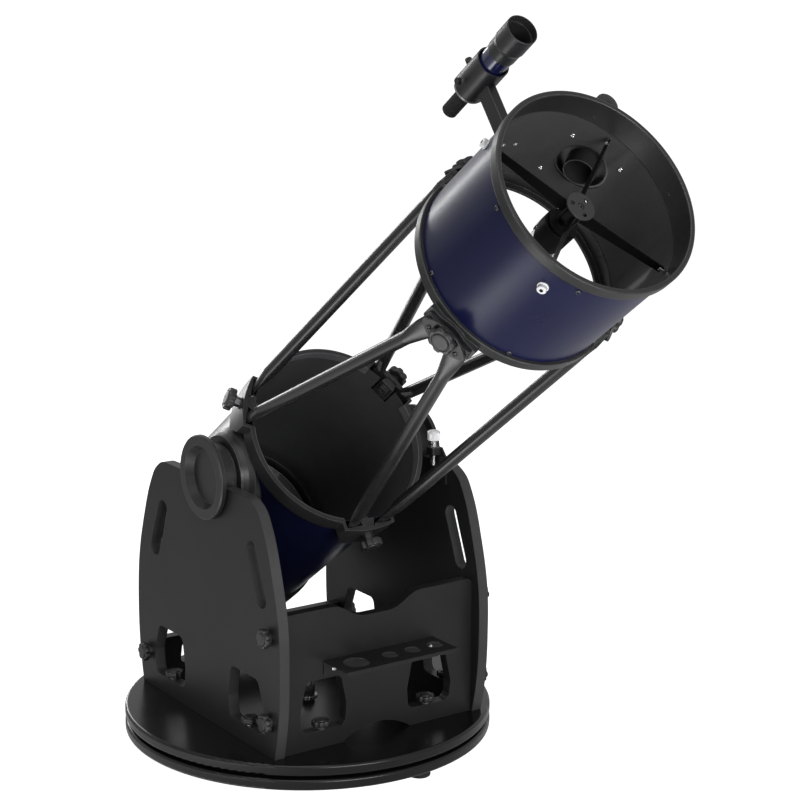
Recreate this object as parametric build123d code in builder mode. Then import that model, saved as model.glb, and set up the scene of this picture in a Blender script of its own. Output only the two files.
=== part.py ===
from build123d import *
import os
from math import cos, radians, sin

os.makedirs("parts", exist_ok=True)

# Truss-tube Dobsonian telescope, 12 inch f/5 size.  Millimetres, +Z up, floor at Z = 0.
# The origin is on the floor under the azimuth pivot.  The tube points towards -Y at 36 degrees.

# ---------------------------------------------------------------- driving dimensions
ALTITUDE = 36.0            # rest altitude of the tube, degrees
AXIS_Y = -12.0             # altitude axis, fore and aft
AXIS_Z = 560.0             # altitude axis, above the floor

BOARD_RADIUS = 367.0       # both round base boards
BOARD_THICKNESS = 22.0
BOARD_EDGE = 6.0           # rounding of the board rims
GROUND_Z = 18.0            # underside of the ground board = height of the feet
TURN_GAP = 6.0             # groove between the two boards
TURN_Z = GROUND_Z + BOARD_THICKNESS + TURN_GAP
DECK_Z = TURN_Z + BOARD_THICKNESS
FOOT_RADIUS = 22.0
FOOT_CIRCLE = 328.0
FOOT_ANGLES = (278.0, 38.0, 158.0)

PANEL_THICKNESS = 22.0
PANEL_OUTER = {-1: 233.5, 1: 244.5}    # outer faces of the left and right side panels
PANEL_INNER = {side: PANEL_OUTER[side] - PANEL_THICKNESS for side in (-1, 1)}
CROSS_END = {side: PANEL_INNER[side] - 0.1 for side in (-1, 1)}   # ends of the cross panels
PANEL_MIDDLE_Y = 5.0
PANEL_TOP = 553.0
CRADLE_RADIUS = 66.3
CROSS_FRONT_Y = -248.0     # front face of the front panel
CROSS_REAR_Y = 248.0       # rear face of the rear panel
WINDOW_BOTTOM = 103.0      # lower edge of every hand-hole

TUBE_RADIUS = 178.0
TUBE_WALL = 1.5
BAND_RADIUS = 184.0        # outside of the end rings
BAND_FIT = 0.1             # ring to tube fit
TUBE_BORE = TUBE_RADIUS - TUBE_WALL

LOWER_TAIL = -383.0        # tube stations are measured forwards from the altitude axis
LOWER_MOUTH = 118.0
UPPER_TAIL = 781.0
UPPER_MOUTH = 1040.0
CLAMP_ANGLES = (150.0, 30.0, 270.0)
FITTING_ANGLES = (90.0, 210.0, 330.0)
CLAMP_STATION = 102.0
FITTING_STATION = 760.0
POLE_RADIUS = 12.5
POLE_SPREAD = 30.0         # pole end to the middle of its clamp or fitting
CLAMP_DEPTH = 183.2        # pole ends from the tube axis, in the clamps
FITTING_DEPTH = 194.5      # pole ends from the tube axis, under the plates

FOCUSER_ANGLE = 45.0
FOCUSER_STATION = 897.0
VANE_ANGLES = (45.0, 135.0, 225.0, 315.0)
VANE_STATION = 982.0
MIRROR_RADIUS = 152.4
MIRROR_FACE = -318.0
FOCAL_LENGTH = 1500.0
FINDER_ANGLE = 91.0
FINDER_RADIUS = 308.0
SHOE_STATION = 893.0

# ---------------------------------------------------------------- the tube's own frame
ACROSS = Vector(1, 0, 0)
UPWARD = Vector(0, sin(radians(ALTITUDE)), cos(radians(ALTITUDE)))
ALONG = Vector(0, -cos(radians(ALTITUDE)), sin(radians(ALTITUDE)))
PIVOT = Vector(0, AXIS_Y, AXIS_Z)
TUBE_AXIS = Axis(PIVOT, ALONG)
ALTITUDE_AXIS = Axis(PIVOT, ACROSS)
TUBE_PROFILE = Plane(origin=PIVOT, x_dir=ACROSS, z_dir=UPWARD * -1)
BEARING_PROFILE = Plane(origin=PIVOT, x_dir=(1, 0, 0), z_dir=(0, -1, 0))


def outward(angle):
    """Unit vector away from the tube axis at `angle` degrees, 0 = +X, 90 = top."""
    return ACROSS * cos(radians(angle)) + UPWARD * sin(radians(angle))


def around(angle):
    """Unit vector along the tube's circumference at `angle`."""
    return UPWARD * cos(radians(angle)) - ACROSS * sin(radians(angle))


def station(length):
    """Plane square to the tube axis."""
    return Plane(origin=PIVOT + ALONG * length, x_dir=ACROSS, z_dir=ALONG)


def facing(angle, radius, length, shift=0.0):
    """Plane on the tube's side: x runs around the tube, y along it, z outwards."""
    origin = PIVOT + ALONG * length + outward(angle) * radius + around(angle) * shift
    return Plane(origin=origin, x_dir=around(angle), z_dir=outward(angle))


def turned(angle, length):
    """Plane square to the tube axis with its x axis pointing outwards at `angle`."""
    return Plane(origin=PIVOT + ALONG * length, x_dir=outward(angle), z_dir=ALONG)


# ================================================================ ground base
with BuildPart() as ground_board:
    with BuildSketch(Plane.XY.offset(GROUND_Z)):
        Circle(BOARD_RADIUS)
    extrude(amount=BOARD_THICKNESS)
    rims = ground_board.edges().filter_by(GeomType.CIRCLE)
    fillet(rims, radius=BOARD_EDGE)
    with BuildSketch(Plane.XY.offset(GROUND_Z)):
        Circle(8.2)
    extrude(amount=BOARD_THICKNESS, mode=Mode.SUBTRACT)
    with BuildSketch(Plane.XY.offset(GROUND_Z)):
        Circle(16)
    extrude(amount=9, mode=Mode.SUBTRACT)
ground_board.part.label = "ground_board"
export_step(ground_board.part, "parts/ground_board.step")

with BuildPart() as feet:
    for angle in FOOT_ANGLES:
        foot_x = FOOT_CIRCLE * cos(radians(angle))
        foot_y = FOOT_CIRCLE * sin(radians(angle))
        with BuildSketch(Plane.XY):
            with Locations((foot_x, foot_y)):
                Circle(FOOT_RADIUS)
        extrude(amount=GROUND_Z)
    fillet(feet.edges().group_by(Axis.Z)[0], radius=2.5)
feet.part.label = "feet"
export_step(feet.part, "parts/feet.step")

# Low-friction pads between the boards, one above each foot.
with BuildPart() as azimuth_pads:
    for angle in FOOT_ANGLES:
        pad_plane = Plane(
            origin=(0, 0, GROUND_Z + BOARD_THICKNESS),
            x_dir=(cos(radians(angle)), sin(radians(angle)), 0),
            z_dir=(0, 0, 1),
        )
        with BuildSketch(pad_plane):
            with Locations((300, 0)):
                RectangleRounded(40, 64, 6)
        extrude(amount=TURN_GAP - 0.1)
azimuth_pads.part.label = "azimuth_pads"
export_step(azimuth_pads.part, "parts/azimuth_pads.step")

with BuildPart() as azimuth_bolt:
    with BuildSketch(Plane.XY.offset(GROUND_Z + 1)):
        RegularPolygon(12, 6)
    extrude(amount=8)
    with BuildSketch(Plane.XY.offset(GROUND_Z + 9)):
        Circle(8)
    extrude(amount=102 - GROUND_Z - 9)
    chamfer(azimuth_bolt.edges().group_by(Axis.Z)[-1], length=1.5)
azimuth_bolt.part.label = "azimuth_bolt"
export_step(azimuth_bolt.part, "parts/azimuth_bolt.step")

# Washer and knurled nut that hold the rotating board down on the pivot.
with BuildPart() as azimuth_nut:
    with BuildSketch(Plane.XY.offset(DECK_Z + 0.2)):
        Circle(19)
        Circle(8.1, mode=Mode.SUBTRACT)
    extrude(amount=3)
    with BuildSketch(Plane.XY.offset(DECK_Z + 3.2)):
        Circle(13.5)
        with PolarLocations(14.2, 18):
            Circle(1.4, mode=Mode.SUBTRACT)
        Circle(8.1, mode=Mode.SUBTRACT)
    extrude(amount=20)
azimuth_nut.part.label = "azimuth_nut"
export_step(azimuth_nut.part, "parts/azimuth_nut.step")

# ================================================================ rocker box
with BuildPart() as rotating_board:
    with BuildSketch(Plane.XY.offset(TURN_Z)):
        Circle(BOARD_RADIUS)
    extrude(amount=BOARD_THICKNESS)
    fillet(rotating_board.edges().filter_by(GeomType.CIRCLE), radius=BOARD_EDGE)
    with BuildSketch(Plane.XY.offset(TURN_Z)):
        Circle(8.3)
    extrude(amount=BOARD_THICKNESS, mode=Mode.SUBTRACT)
rotating_board.part.label = "rotating_board"
export_step(rotating_board.part, "parts/rotating_board.step")

SIDE_KNOBS = ((-237.0, 303.0), (-237.0, 137.0), (237.0, 139.0))   # (y, z) on each panel
BASE_KNOBS = (
    (-222.5, -150.0), (-222.5, 152.0), (233.5, -150.0), (233.5, 152.0),
    (-121.0, -237.0), (121.0, -237.0), (-121.0, 237.0), (121.0, 237.0),
)
STUD_RADIUS = 4.0
STUD_FIT = 0.05


def window(corners, rounding):
    """Hand-hole outline with rounded corners."""
    with BuildSketch() as opening:
        Polygon(*corners, align=None)
        fillet(opening.vertices(), radius=rounding)
    return opening.sketch


def side_panel(inner_x):
    """Side panel with its cradle, two slots, two hand-holes and the stud holes."""
    front_reach = (
        (259, DECK_Z), (269, 112), (277, 175), (279, 240), (277, 310), (267, 370),
        (251, 428), (231, 486), (216, 515), (203, 533), (183, 546), (156, PANEL_TOP),
    )
    rear_reach = (
        (258, DECK_Z), (267, 112), (274, 175), (275, 240), (271, 310), (260, 370),
        (242, 428), (220, 486), (205, 514), (193, 531), (175, 545), (150, PANEL_TOP),
    )
    front_arch = [(PANEL_MIDDLE_Y - y, z) for y, z in front_reach]
    rear_arch = [(PANEL_MIDDLE_Y + y, z) for y, z in rear_reach]
    front_corners = (
        (-96, 208), (-195, 208), (-219, 150), (-212, WINDOW_BOTTOM),
        (-90, WINDOW_BOTTOM), (-85, 145),
    )
    rear_corners = (
        (96, 208), (190, 208), (212, 150), (206, WINDOW_BOTTOM),
        (90, WINDOW_BOTTOM), (85, 145),
    )
    hand_holes = [window(front_corners, 14), window(rear_corners, 14)]
    inner_face = Plane(origin=(inner_x, 0, 0), x_dir=(0, 1, 0), z_dir=(1, 0, 0))
    with BuildPart() as panel:
        with BuildSketch(inner_face):
            with BuildLine():
                Spline(*front_arch, tangents=((-0.25, 1), (1, 0.1)))
                Line(front_arch[-1], rear_arch[-1])
                Spline(*rear_arch, tangents=((0.25, 1), (-1, 0.1)))
                Line(rear_arch[0], front_arch[0])
            make_face()
            with Locations((AXIS_Y, AXIS_Z)):
                Circle(CRADLE_RADIUS, mode=Mode.SUBTRACT)
            for side, reach in ((-1, 193), (1, 185)):
                with Locations((reach * side, 412.5)):
                    SlotCenterToCenter(91.5, 36, rotation=-68.2 * side, mode=Mode.SUBTRACT)
            for hole in hand_holes:
                add(hole, mode=Mode.SUBTRACT)
        extrude(amount=PANEL_THICKNESS)
        with BuildSketch(inner_face):
            with Locations(*SIDE_KNOBS):
                Circle(STUD_RADIUS + STUD_FIT)
        extrude(amount=PANEL_THICKNESS, mode=Mode.SUBTRACT)
        with BuildSketch(Plane.XY.offset(DECK_Z)):
            for y in (-150, 152):
                with Locations((inner_x + PANEL_THICKNESS / 2, y)):
                    Circle(STUD_RADIUS + STUD_FIT)
        extrude(amount=WINDOW_BOTTOM - DECK_Z, mode=Mode.SUBTRACT)
    return panel


left_side_panel = side_panel(-PANEL_OUTER[-1])
left_side_panel.part.label = "left_side_panel"
export_step(left_side_panel.part, "parts/left_side_panel.step")

right_side_panel = side_panel(PANEL_INNER[1])
right_side_panel.part.label = "right_side_panel"
export_step(right_side_panel.part, "parts/right_side_panel.step")

# Front panel: level shoulders with a dip between them, two hand-holes, a low arch.
front_windows = []
for side in (-1, 1):
    corners = (
        (82, 204), (160, 204), (174, 140), (170, WINDOW_BOTTOM),
        (73, WINDOW_BOTTOM), (70, 145),
    )
    front_windows.append(window([(x * side, z) for x, z in corners], 13))
FRONT_FACE = Plane(origin=(0, CROSS_FRONT_Y, 0), x_dir=(1, 0, 0), z_dir=(0, -1, 0))
with BuildPart() as front_panel:
    with BuildSketch(FRONT_FACE):
        with BuildLine():
            Line((-CROSS_END[-1], DECK_Z), (-CROSS_END[-1], 334))
            Line((-CROSS_END[-1], 334), (-CROSS_END[-1] + 7, 341))
            Line((-CROSS_END[-1] + 7, 341), (-104, 341))
            Spline((-104, 341), (-66, 327), (-22, 312), tangents=((1, 0), (1, 0)))
            Line((-22, 312), (22, 312))
            Spline((22, 312), (66, 327), (104, 341), tangents=((1, 0), (1, 0)))
            Line((104, 341), (CROSS_END[1] - 7, 341))
            Line((CROSS_END[1] - 7, 341), (CROSS_END[1], 334))
            Line((CROSS_END[1], 334), (CROSS_END[1], DECK_Z))
            Line((CROSS_END[1], DECK_Z), (77, DECK_Z))
            ThreePointArc((77, DECK_Z), (0, 93), (-77, DECK_Z))
            Line((-77, DECK_Z), (-CROSS_END[-1], DECK_Z))
        make_face()
        for opening in front_windows:
            add(opening, mode=Mode.SUBTRACT)
    extrude(amount=-PANEL_THICKNESS)
    for side in (-1, 1):
        end = side * CROSS_END[side]
        edge = Plane(origin=(end, -237, 0), x_dir=(0, 1, 0), z_dir=(side, 0, 0))
        with BuildSketch(edge):
            with Locations((0, 303 * side), (0, 137 * side)):
                Circle(STUD_RADIUS + STUD_FIT)
        extrude(amount=-32, mode=Mode.SUBTRACT)
    with BuildSketch(Plane.XY.offset(DECK_Z)):
        with Locations((-121, -237), (121, -237)):
            Circle(STUD_RADIUS + STUD_FIT)
    extrude(amount=WINDOW_BOTTOM - DECK_Z, mode=Mode.SUBTRACT)
    with BuildSketch(FRONT_FACE):
        with Locations((-100, 221), (122, 221)):
            Circle(2.1)
    extrude(amount=-12, mode=Mode.SUBTRACT)
front_panel.part.label = "front_panel"
export_step(front_panel.part, "parts/front_panel.step")

# Rear panel: low, so that the tail of the tube swings over it.
rear_windows = []
for side in (-1, 1):
    corners = ((80, 144), (163, 144), (168, WINDOW_BOTTOM), (74, WINDOW_BOTTOM))
    rear_windows.append(window([(x * side, z) for x, z in corners], 9))
REAR_FACE = Plane(origin=(0, CROSS_REAR_Y, 0), x_dir=(-1, 0, 0), z_dir=(0, 1, 0))
with BuildPart() as rear_panel:
    with BuildSketch(REAR_FACE):
        with BuildLine():
            Polyline(
                (-77, DECK_Z), (-CROSS_END[1], DECK_Z), (-CROSS_END[1], 163),
                (CROSS_END[-1], 163), (CROSS_END[-1], DECK_Z), (77, DECK_Z),
            )
            ThreePointArc((77, DECK_Z), (0, 93), (-77, DECK_Z))
        make_face()
        for opening in rear_windows:
            add(opening, mode=Mode.SUBTRACT)
    extrude(amount=-PANEL_THICKNESS)
    for side in (-1, 1):
        end = side * CROSS_END[side]
        edge = Plane(origin=(end, 237, 0), x_dir=(0, 1, 0), z_dir=(side, 0, 0))
        with BuildSketch(edge):
            with Locations((0, 139 * side)):
                Circle(STUD_RADIUS + STUD_FIT)
        extrude(amount=-32, mode=Mode.SUBTRACT)
    with BuildSketch(Plane.XY.offset(DECK_Z)):
        with Locations((-121, 237), (121, 237)):
            Circle(STUD_RADIUS + STUD_FIT)
    extrude(amount=WINDOW_BOTTOM - DECK_Z, mode=Mode.SUBTRACT)
rear_panel.part.label = "rear_panel"
export_step(rear_panel.part, "parts/rear_panel.step")


def hand_knob(seat, radius, thickness, collar, stud_radius, stud_length):
    """Scalloped hand knob on `seat`: collar, lobed grip, cap, and a stud running back."""
    with BuildPart() as knob:
        with BuildSketch(seat):
            Circle(radius * 0.52)
        extrude(amount=collar)
        with BuildSketch(seat.offset(collar)):
            Circle(radius)
            with PolarLocations(radius * 1.22, 6):
                Circle(radius * 0.4, mode=Mode.SUBTRACT)
        extrude(amount=thickness)
        with BuildSketch(seat.offset(collar + thickness)):
            Circle(radius * 0.62)
        extrude(amount=1.6, taper=30)
        with BuildSketch(seat.offset(-stud_length)):
            Circle(stud_radius)
        extrude(amount=stud_length)
    return knob.part


# Six hand knobs clamp the side panels to the cross panels.
side_knob_shapes = []
for side in (-1, 1):
    for y, z in SIDE_KNOBS:
        seat = Plane(
            origin=(side * (PANEL_OUTER[side] + 0.2), y, z),
            x_dir=(0, side, 0),
            z_dir=(side, 0, 0),
        )
        side_knob_shapes.append(hand_knob(seat, 19, 12, 5, STUD_RADIUS, 50))
with BuildPart() as panel_knobs:
    for shape in side_knob_shapes:
        add(shape)
panel_knobs.part.label = "panel_knobs"
export_step(panel_knobs.part, "parts/panel_knobs.step")

# Eight knobs stand in the hand-holes and clamp the four panels down to the board.
base_knob_shapes = []
for x, y in BASE_KNOBS:
    seat = Plane(origin=(x, y, WINDOW_BOTTOM + 0.2), x_dir=(1, 0, 0), z_dir=(0, 0, 1))
    base_knob_shapes.append(hand_knob(seat, 18, 12, 4, STUD_RADIUS, WINDOW_BOTTOM - DECK_Z))
with BuildPart() as base_knobs:
    for shape in base_knob_shapes:
        add(shape)
base_knobs.part.label = "base_knobs"
export_step(base_knobs.part, "parts/base_knobs.step")

# Eyepiece rack: bent sheet with one 2 inch and three 1.25 inch holes.
RACK_LEFT = -122.0
RACK_RIGHT = 130.0
RACK_TOP = 240.0
RACK_HOLES = ((-75.0, 25.5), (1.0, 16.0), (53.0, 16.0), (105.0, 16.0))
with BuildPart() as eyepiece_rack:
    with BuildSketch(Plane(origin=(RACK_LEFT, 0, 0), x_dir=(0, 1, 0), z_dir=(1, 0, 0))):
        Polygon(
            (CROSS_FRONT_Y - 0.1, RACK_TOP - 28), (CROSS_FRONT_Y - 0.1, RACK_TOP),
            (-330, RACK_TOP), (-330, RACK_TOP - 7), (-327.8, RACK_TOP - 7),
            (-327.8, RACK_TOP - 2.2), (CROSS_FRONT_Y - 2.3, RACK_TOP - 2.2),
            (CROSS_FRONT_Y - 2.3, RACK_TOP - 28),
            align=None,
        )
    extrude(amount=RACK_RIGHT - RACK_LEFT)
    with BuildSketch(Plane.XY.offset(RACK_TOP)):
        for x, radius in RACK_HOLES:
            with Locations((x, -290)):
                Circle(radius)
    extrude(amount=-4, mode=Mode.SUBTRACT)
    with BuildSketch(FRONT_FACE):
        with Locations((-100, 221), (122, 221)):
            Circle(2.1)
    extrude(amount=4, mode=Mode.SUBTRACT)
eyepiece_rack.part.label = "eyepiece_rack"
export_step(eyepiece_rack.part, "parts/eyepiece_rack.step")

# Tension screw of the altitude axis: bracket on the inside of the right panel.
BRACKET_Y = -134.0
BRACKET_X = PANEL_INNER[1] - 0.1
BRACKET_FACE = Plane(origin=(BRACKET_X, 0, 0), x_dir=(0, 1, 0), z_dir=(1, 0, 0))
with BuildPart() as tension_bracket:
    with BuildSketch(BRACKET_FACE):
        Polygon(
            (BRACKET_Y - 28, 512), (BRACKET_Y + 26, 512), (BRACKET_Y + 26, 577),
            (BRACKET_Y + 12, 584), (BRACKET_Y - 12, 584), (BRACKET_Y - 28, 566),
            align=None,
        )
    extrude(amount=-4)
    with BuildSketch(Plane.XY.offset(570)):
        with Locations((BRACKET_X - 13, BRACKET_Y)):
            RectangleRounded(22, 24, 4)
    extrude(amount=14)
    with BuildSketch(Plane.XY.offset(570)):
        with Locations((BRACKET_X - 13, BRACKET_Y)):
            Circle(5.1)
    extrude(amount=14, mode=Mode.SUBTRACT)
    with BuildSketch(BRACKET_FACE):
        with Locations((BRACKET_Y + 16, 530), (BRACKET_Y + 16, 552)):
            Circle(2.1)
    extrude(amount=-4, mode=Mode.SUBTRACT)
tension_bracket.part.label = "tension_bracket"
export_step(tension_bracket.part, "parts/tension_bracket.step")

with BuildPart() as tension_screw:
    with BuildSketch(Plane.XY.offset(548)):
        with Locations((BRACKET_X - 13, BRACKET_Y)):
            Circle(5)
    extrude(amount=50)
    with BuildSketch(Plane.XY.offset(598)):
        with Locations((BRACKET_X - 13, BRACKET_Y)):
            Circle(13)
    extrude(amount=19)
    chamfer(tension_screw.edges().group_by(Axis.Z)[-1], length=2.5)
tension_screw.part.label = "tension_screw"
export_step(tension_screw.part, "parts/tension_screw.step")

# Four pan-head screws: two hold the rack, two the tension bracket.
with BuildPart() as panel_screws:
    for x in (-100, 122):
        head = FRONT_FACE.offset(2.4)
        with BuildSketch(Plane(origin=head.from_local_coords((x, 221, 0)), z_dir=head.z_dir)):
            Circle(5.2)
        extrude(amount=3, taper=20)
        with BuildSketch(Plane(origin=head.from_local_coords((x, 221, 0)), z_dir=head.z_dir)):
            Circle(2)
        extrude(amount=-13)
    for z in (530, 552):
        head = Plane(origin=(BRACKET_X - 4.1, BRACKET_Y + 16, z), z_dir=(-1, 0, 0))
        with BuildSketch(head):
            Circle(5.2)
        extrude(amount=3, taper=20)
        with BuildSketch(head):
            Circle(2)
        extrude(amount=-4)
panel_screws.part.label = "panel_screws"
export_step(panel_screws.part, "parts/panel_screws.step")

DRUM_RADIUS = 62.0
# Slippery pads line each cradle, fore and aft of its lowest point.
with BuildPart() as bearing_pads:
    for side in (-1, 1):
        cradle = Plane(
            origin=(side * (PANEL_INNER[side] + 1), AXIS_Y, AXIS_Z),
            x_dir=(0, side, 0),
            z_dir=(side, 0, 0),
        )
        for reach in (-1, 1):
            with BuildSketch(cradle):
                Circle(CRADLE_RADIUS - 0.1)
                Circle(DRUM_RADIUS + 0.3, mode=Mode.SUBTRACT)
                Polygon(
                    (0, 0), (60 * reach, -90), (90 * reach, -45),
                    align=None,
                    mode=Mode.INTERSECT,
                )
            extrude(amount=PANEL_THICKNESS - 2)
bearing_pads.part.label = "bearing_pads"
export_step(bearing_pads.part, "parts/bearing_pads.step")

# ================================================================ lower tube
CLAMP_NOTCH = 20.0
with BuildPart() as lower_tube:
    with BuildSketch(station(LOWER_TAIL)):
        Circle(TUBE_RADIUS)
        Circle(TUBE_BORE, mode=Mode.SUBTRACT)
    extrude(amount=LOWER_MOUTH - LOWER_TAIL)
    for angle in CLAMP_ANGLES:
        with BuildSketch(facing(angle, 160, LOWER_MOUTH)):
            Rectangle(2 * CLAMP_NOTCH, 88)
        extrude(amount=22, mode=Mode.SUBTRACT)
lower_tube.part.label = "lower_tube"
export_step(lower_tube.part, "parts/lower_tube.step")

# Cast ring on the mouth of the lower tube, with three pole clamps.
BOSS_RADIUS = 199.0
WALL_FACE = 188.0          # flat wall of a clamp pocket
BOSS_OUTLINE = ((-56, 121), (-56, 90), (-36, 58), (36, 58), (56, 90), (56, 121))
with BuildPart() as lower_truss_ring:
    for angle in CLAMP_ANGLES:
        with BuildSketch(facing(angle, 150, 0)):
            Polygon(*BOSS_OUTLINE, align=None)
        extrude(amount=60)
    with BuildSketch(station(30)):
        Circle(BOSS_RADIUS)
        Circle(TUBE_RADIUS + BAND_FIT, mode=Mode.SUBTRACT)
    extrude(amount=91, mode=Mode.INTERSECT)
    with BuildSketch(TUBE_PROFILE):
        Polygon(
            (TUBE_BORE - 1.6, 100), (TUBE_BORE - BAND_FIT, 100),
            (TUBE_BORE - BAND_FIT, LOWER_MOUTH + 0.1),
            (TUBE_RADIUS + BAND_FIT, LOWER_MOUTH + 0.1), (TUBE_RADIUS + BAND_FIT, 88),
            (BAND_RADIUS, 88), (BAND_RADIUS, 121), (TUBE_BORE - 1.6, 121),
            align=None,
        )
    revolve(axis=TUBE_AXIS)
    for angle in CLAMP_ANGLES:
        with BuildSketch(facing(angle, 150, 0)):
            Polygon((-45, 70), (45, 70), (50, 122), (-50, 122), align=None)
        extrude(amount=WALL_FACE - 150, mode=Mode.SUBTRACT)
        with BuildSketch(facing(angle, WALL_FACE - 1, 100)):
            Rectangle(24, 50)
        extrude(amount=5, mode=Mode.SUBTRACT)
        with BuildSketch(facing(angle, WALL_FACE, CLAMP_STATION)):
            Circle(4.08)
        extrude(amount=20, mode=Mode.SUBTRACT)
lower_truss_ring.part.label = "lower_truss_ring"
export_step(lower_truss_ring.part, "parts/lower_truss_ring.step")

# Wedges drawn outwards between the pole ends, each with a square nut on its inner face.
with BuildPart() as clamp_wedges:
    for angle in CLAMP_ANGLES:
        with BuildSketch(turned(angle, 78)):
            Polygon((175, -15.5), (191.8, -9.8), (191.8, 9.8), (175, 15.5), align=None)
        extrude(amount=40)
        with BuildSketch(facing(angle, 175, CLAMP_STATION)):
            Rectangle(16, 16)
        extrude(amount=-7)
        with BuildSketch(facing(angle, 167, CLAMP_STATION)):
            Circle(4.08)
        extrude(amount=26, mode=Mode.SUBTRACT)
clamp_wedges.part.label = "clamp_wedges"
export_step(clamp_wedges.part, "parts/clamp_wedges.step")

for name, angle in zip(("left", "right", "bottom"), CLAMP_ANGLES):
    clamp_seat = facing(angle, BOSS_RADIUS + 0.3, CLAMP_STATION)
    clamp_knob = hand_knob(clamp_seat, 22, 14, 15, 4, 29)
    clamp_knob.label = "clamp_knob_" + name
    export_step(clamp_knob, "parts/clamp_knob_" + name + ".step")

with BuildPart() as bottom_ring:
    with BuildSketch(TUBE_PROFILE):
        Polygon(
            (168, -385), (BAND_RADIUS, -385), (BAND_RADIUS, -343),
            (TUBE_RADIUS + BAND_FIT, -343), (TUBE_RADIUS + BAND_FIT, LOWER_TAIL - 0.1),
            (168, LOWER_TAIL - 0.1),
            align=None,
        )
    revolve(axis=TUBE_AXIS)
bottom_ring.part.label = "bottom_ring"
export_step(bottom_ring.part, "parts/bottom_ring.step")

# ---------------------------------------------------------------- altitude bearings
FLANGE_INNER = {-1: 237.3, 1: 245.3}   # clear of the panels' outer faces


def altitude_bearing(side):
    """Saddle on the tube, drum in the cradle, dished flange outside the panel."""
    flange = FLANGE_INNER[side]
    with BuildPart() as bearing:
        with BuildSketch(BEARING_PROFILE):
            Polygon(*[(side * x, r) for x, r in (
                (148, 87), (178, 87), (187, 80), (197, 76), (201.5, 75), (201.5, 58),
                (205.5, 58), (205.5, DRUM_RADIUS), (flange, DRUM_RADIUS),
                (flange, 81.5), (flange + 8, 81.5), (flange + 10, 79.5), (flange + 10, 62),
                (flange + 7, 60), (flange - 5.3, 52), (flange - 5.3, 0),
                (flange - 9.3, 0), (flange - 9.3, 49), (190, 49), (176, 78), (148, 78),
            )], align=None)
        revolve(axis=ALTITUDE_AXIS)
        with BuildSketch(station(-130)):
            Circle(TUBE_RADIUS + 0.1)
        extrude(amount=260, mode=Mode.SUBTRACT)
        with BuildSketch(facing(90 - 60 * side, 150, -1.5)):
            Polygon(*BOSS_OUTLINE, align=None)
            offset(amount=0.5)
        extrude(amount=BOSS_RADIUS - 149, mode=Mode.SUBTRACT)
    return bearing.part


for name, side in (("left", -1), ("right", 1)):
    bearing_part = altitude_bearing(side)
    bearing_part.label = name + "_altitude_bearing"
    export_step(bearing_part, "parts/" + name + "_altitude_bearing.step")

# ---------------------------------------------------------------- primary mirror and cell
CELL_BACK = -360.0
MIRROR_BACK = MIRROR_FACE - 30.0
with BuildPart() as mirror_cell:
    with BuildSketch(station(CELL_BACK)):
        Circle(TUBE_BORE - 0.1)
        Circle(28, mode=Mode.SUBTRACT)
        with PolarLocations(105, 6, start_angle=30):
            Circle(33, mode=Mode.SUBTRACT)
    extrude(amount=8)
    with BuildSketch(station(CELL_BACK + 8)):
        Circle(TUBE_BORE - 0.1)
        Circle(160, mode=Mode.SUBTRACT)
    extrude(amount=49)
    for angle in FITTING_ANGLES:
        with BuildSketch(turned(angle, CELL_BACK + 8)):
            with Locations((148, 0)):
                Circle(11)
        extrude(amount=MIRROR_BACK - CELL_BACK - 8.1)
        with BuildSketch(turned(angle, MIRROR_FACE - 12)):
            with Locations((157.5, 0)):
                Rectangle(8, 22)
        extrude(amount=16)
        with BuildSketch(turned(angle, MIRROR_FACE + 0.4)):
            with Locations((153, 0)):
                Rectangle(14, 22)
        extrude(amount=3.6)
    for angle in CLAMP_ANGLES:
        with BuildSketch(turned(angle, CELL_BACK)):
            with Locations((60, 0)):
                Circle(4.1)
        extrude(amount=8, mode=Mode.SUBTRACT)
mirror_cell.part.label = "mirror_cell"
export_step(mirror_cell.part, "parts/mirror_cell.step")

SAGITTA = MIRROR_RADIUS ** 2 / (4 * FOCAL_LENGTH)
with BuildPart() as primary_mirror:
    with BuildSketch(station(MIRROR_BACK)):
        Circle(MIRROR_RADIUS)
    extrude(amount=MIRROR_FACE - MIRROR_BACK)
    curve_centre = PIVOT + ALONG * (MIRROR_FACE - SAGITTA + 2 * FOCAL_LENGTH)
    with Locations(Location(curve_centre)):
        Sphere(2 * FOCAL_LENGTH, mode=Mode.SUBTRACT)
primary_mirror.part.label = "primary_mirror"
export_step(primary_mirror.part, "parts/primary_mirror.step")

collimation_shapes = []
for angle in CLAMP_ANGLES:
    back_seat = Plane(
        origin=PIVOT + ALONG * (CELL_BACK - 0.2) + outward(angle) * 60,
        x_dir=around(angle),
        z_dir=ALONG * -1,
    )
    collimation_shapes.append(hand_knob(back_seat, 13, 11, 5, 4, 9))
with BuildPart() as collimation_knobs:
    for shape in collimation_shapes:
        add(shape)
collimation_knobs.part.label = "collimation_knobs"
export_step(collimation_knobs.part, "parts/collimation_knobs.step")

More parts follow.
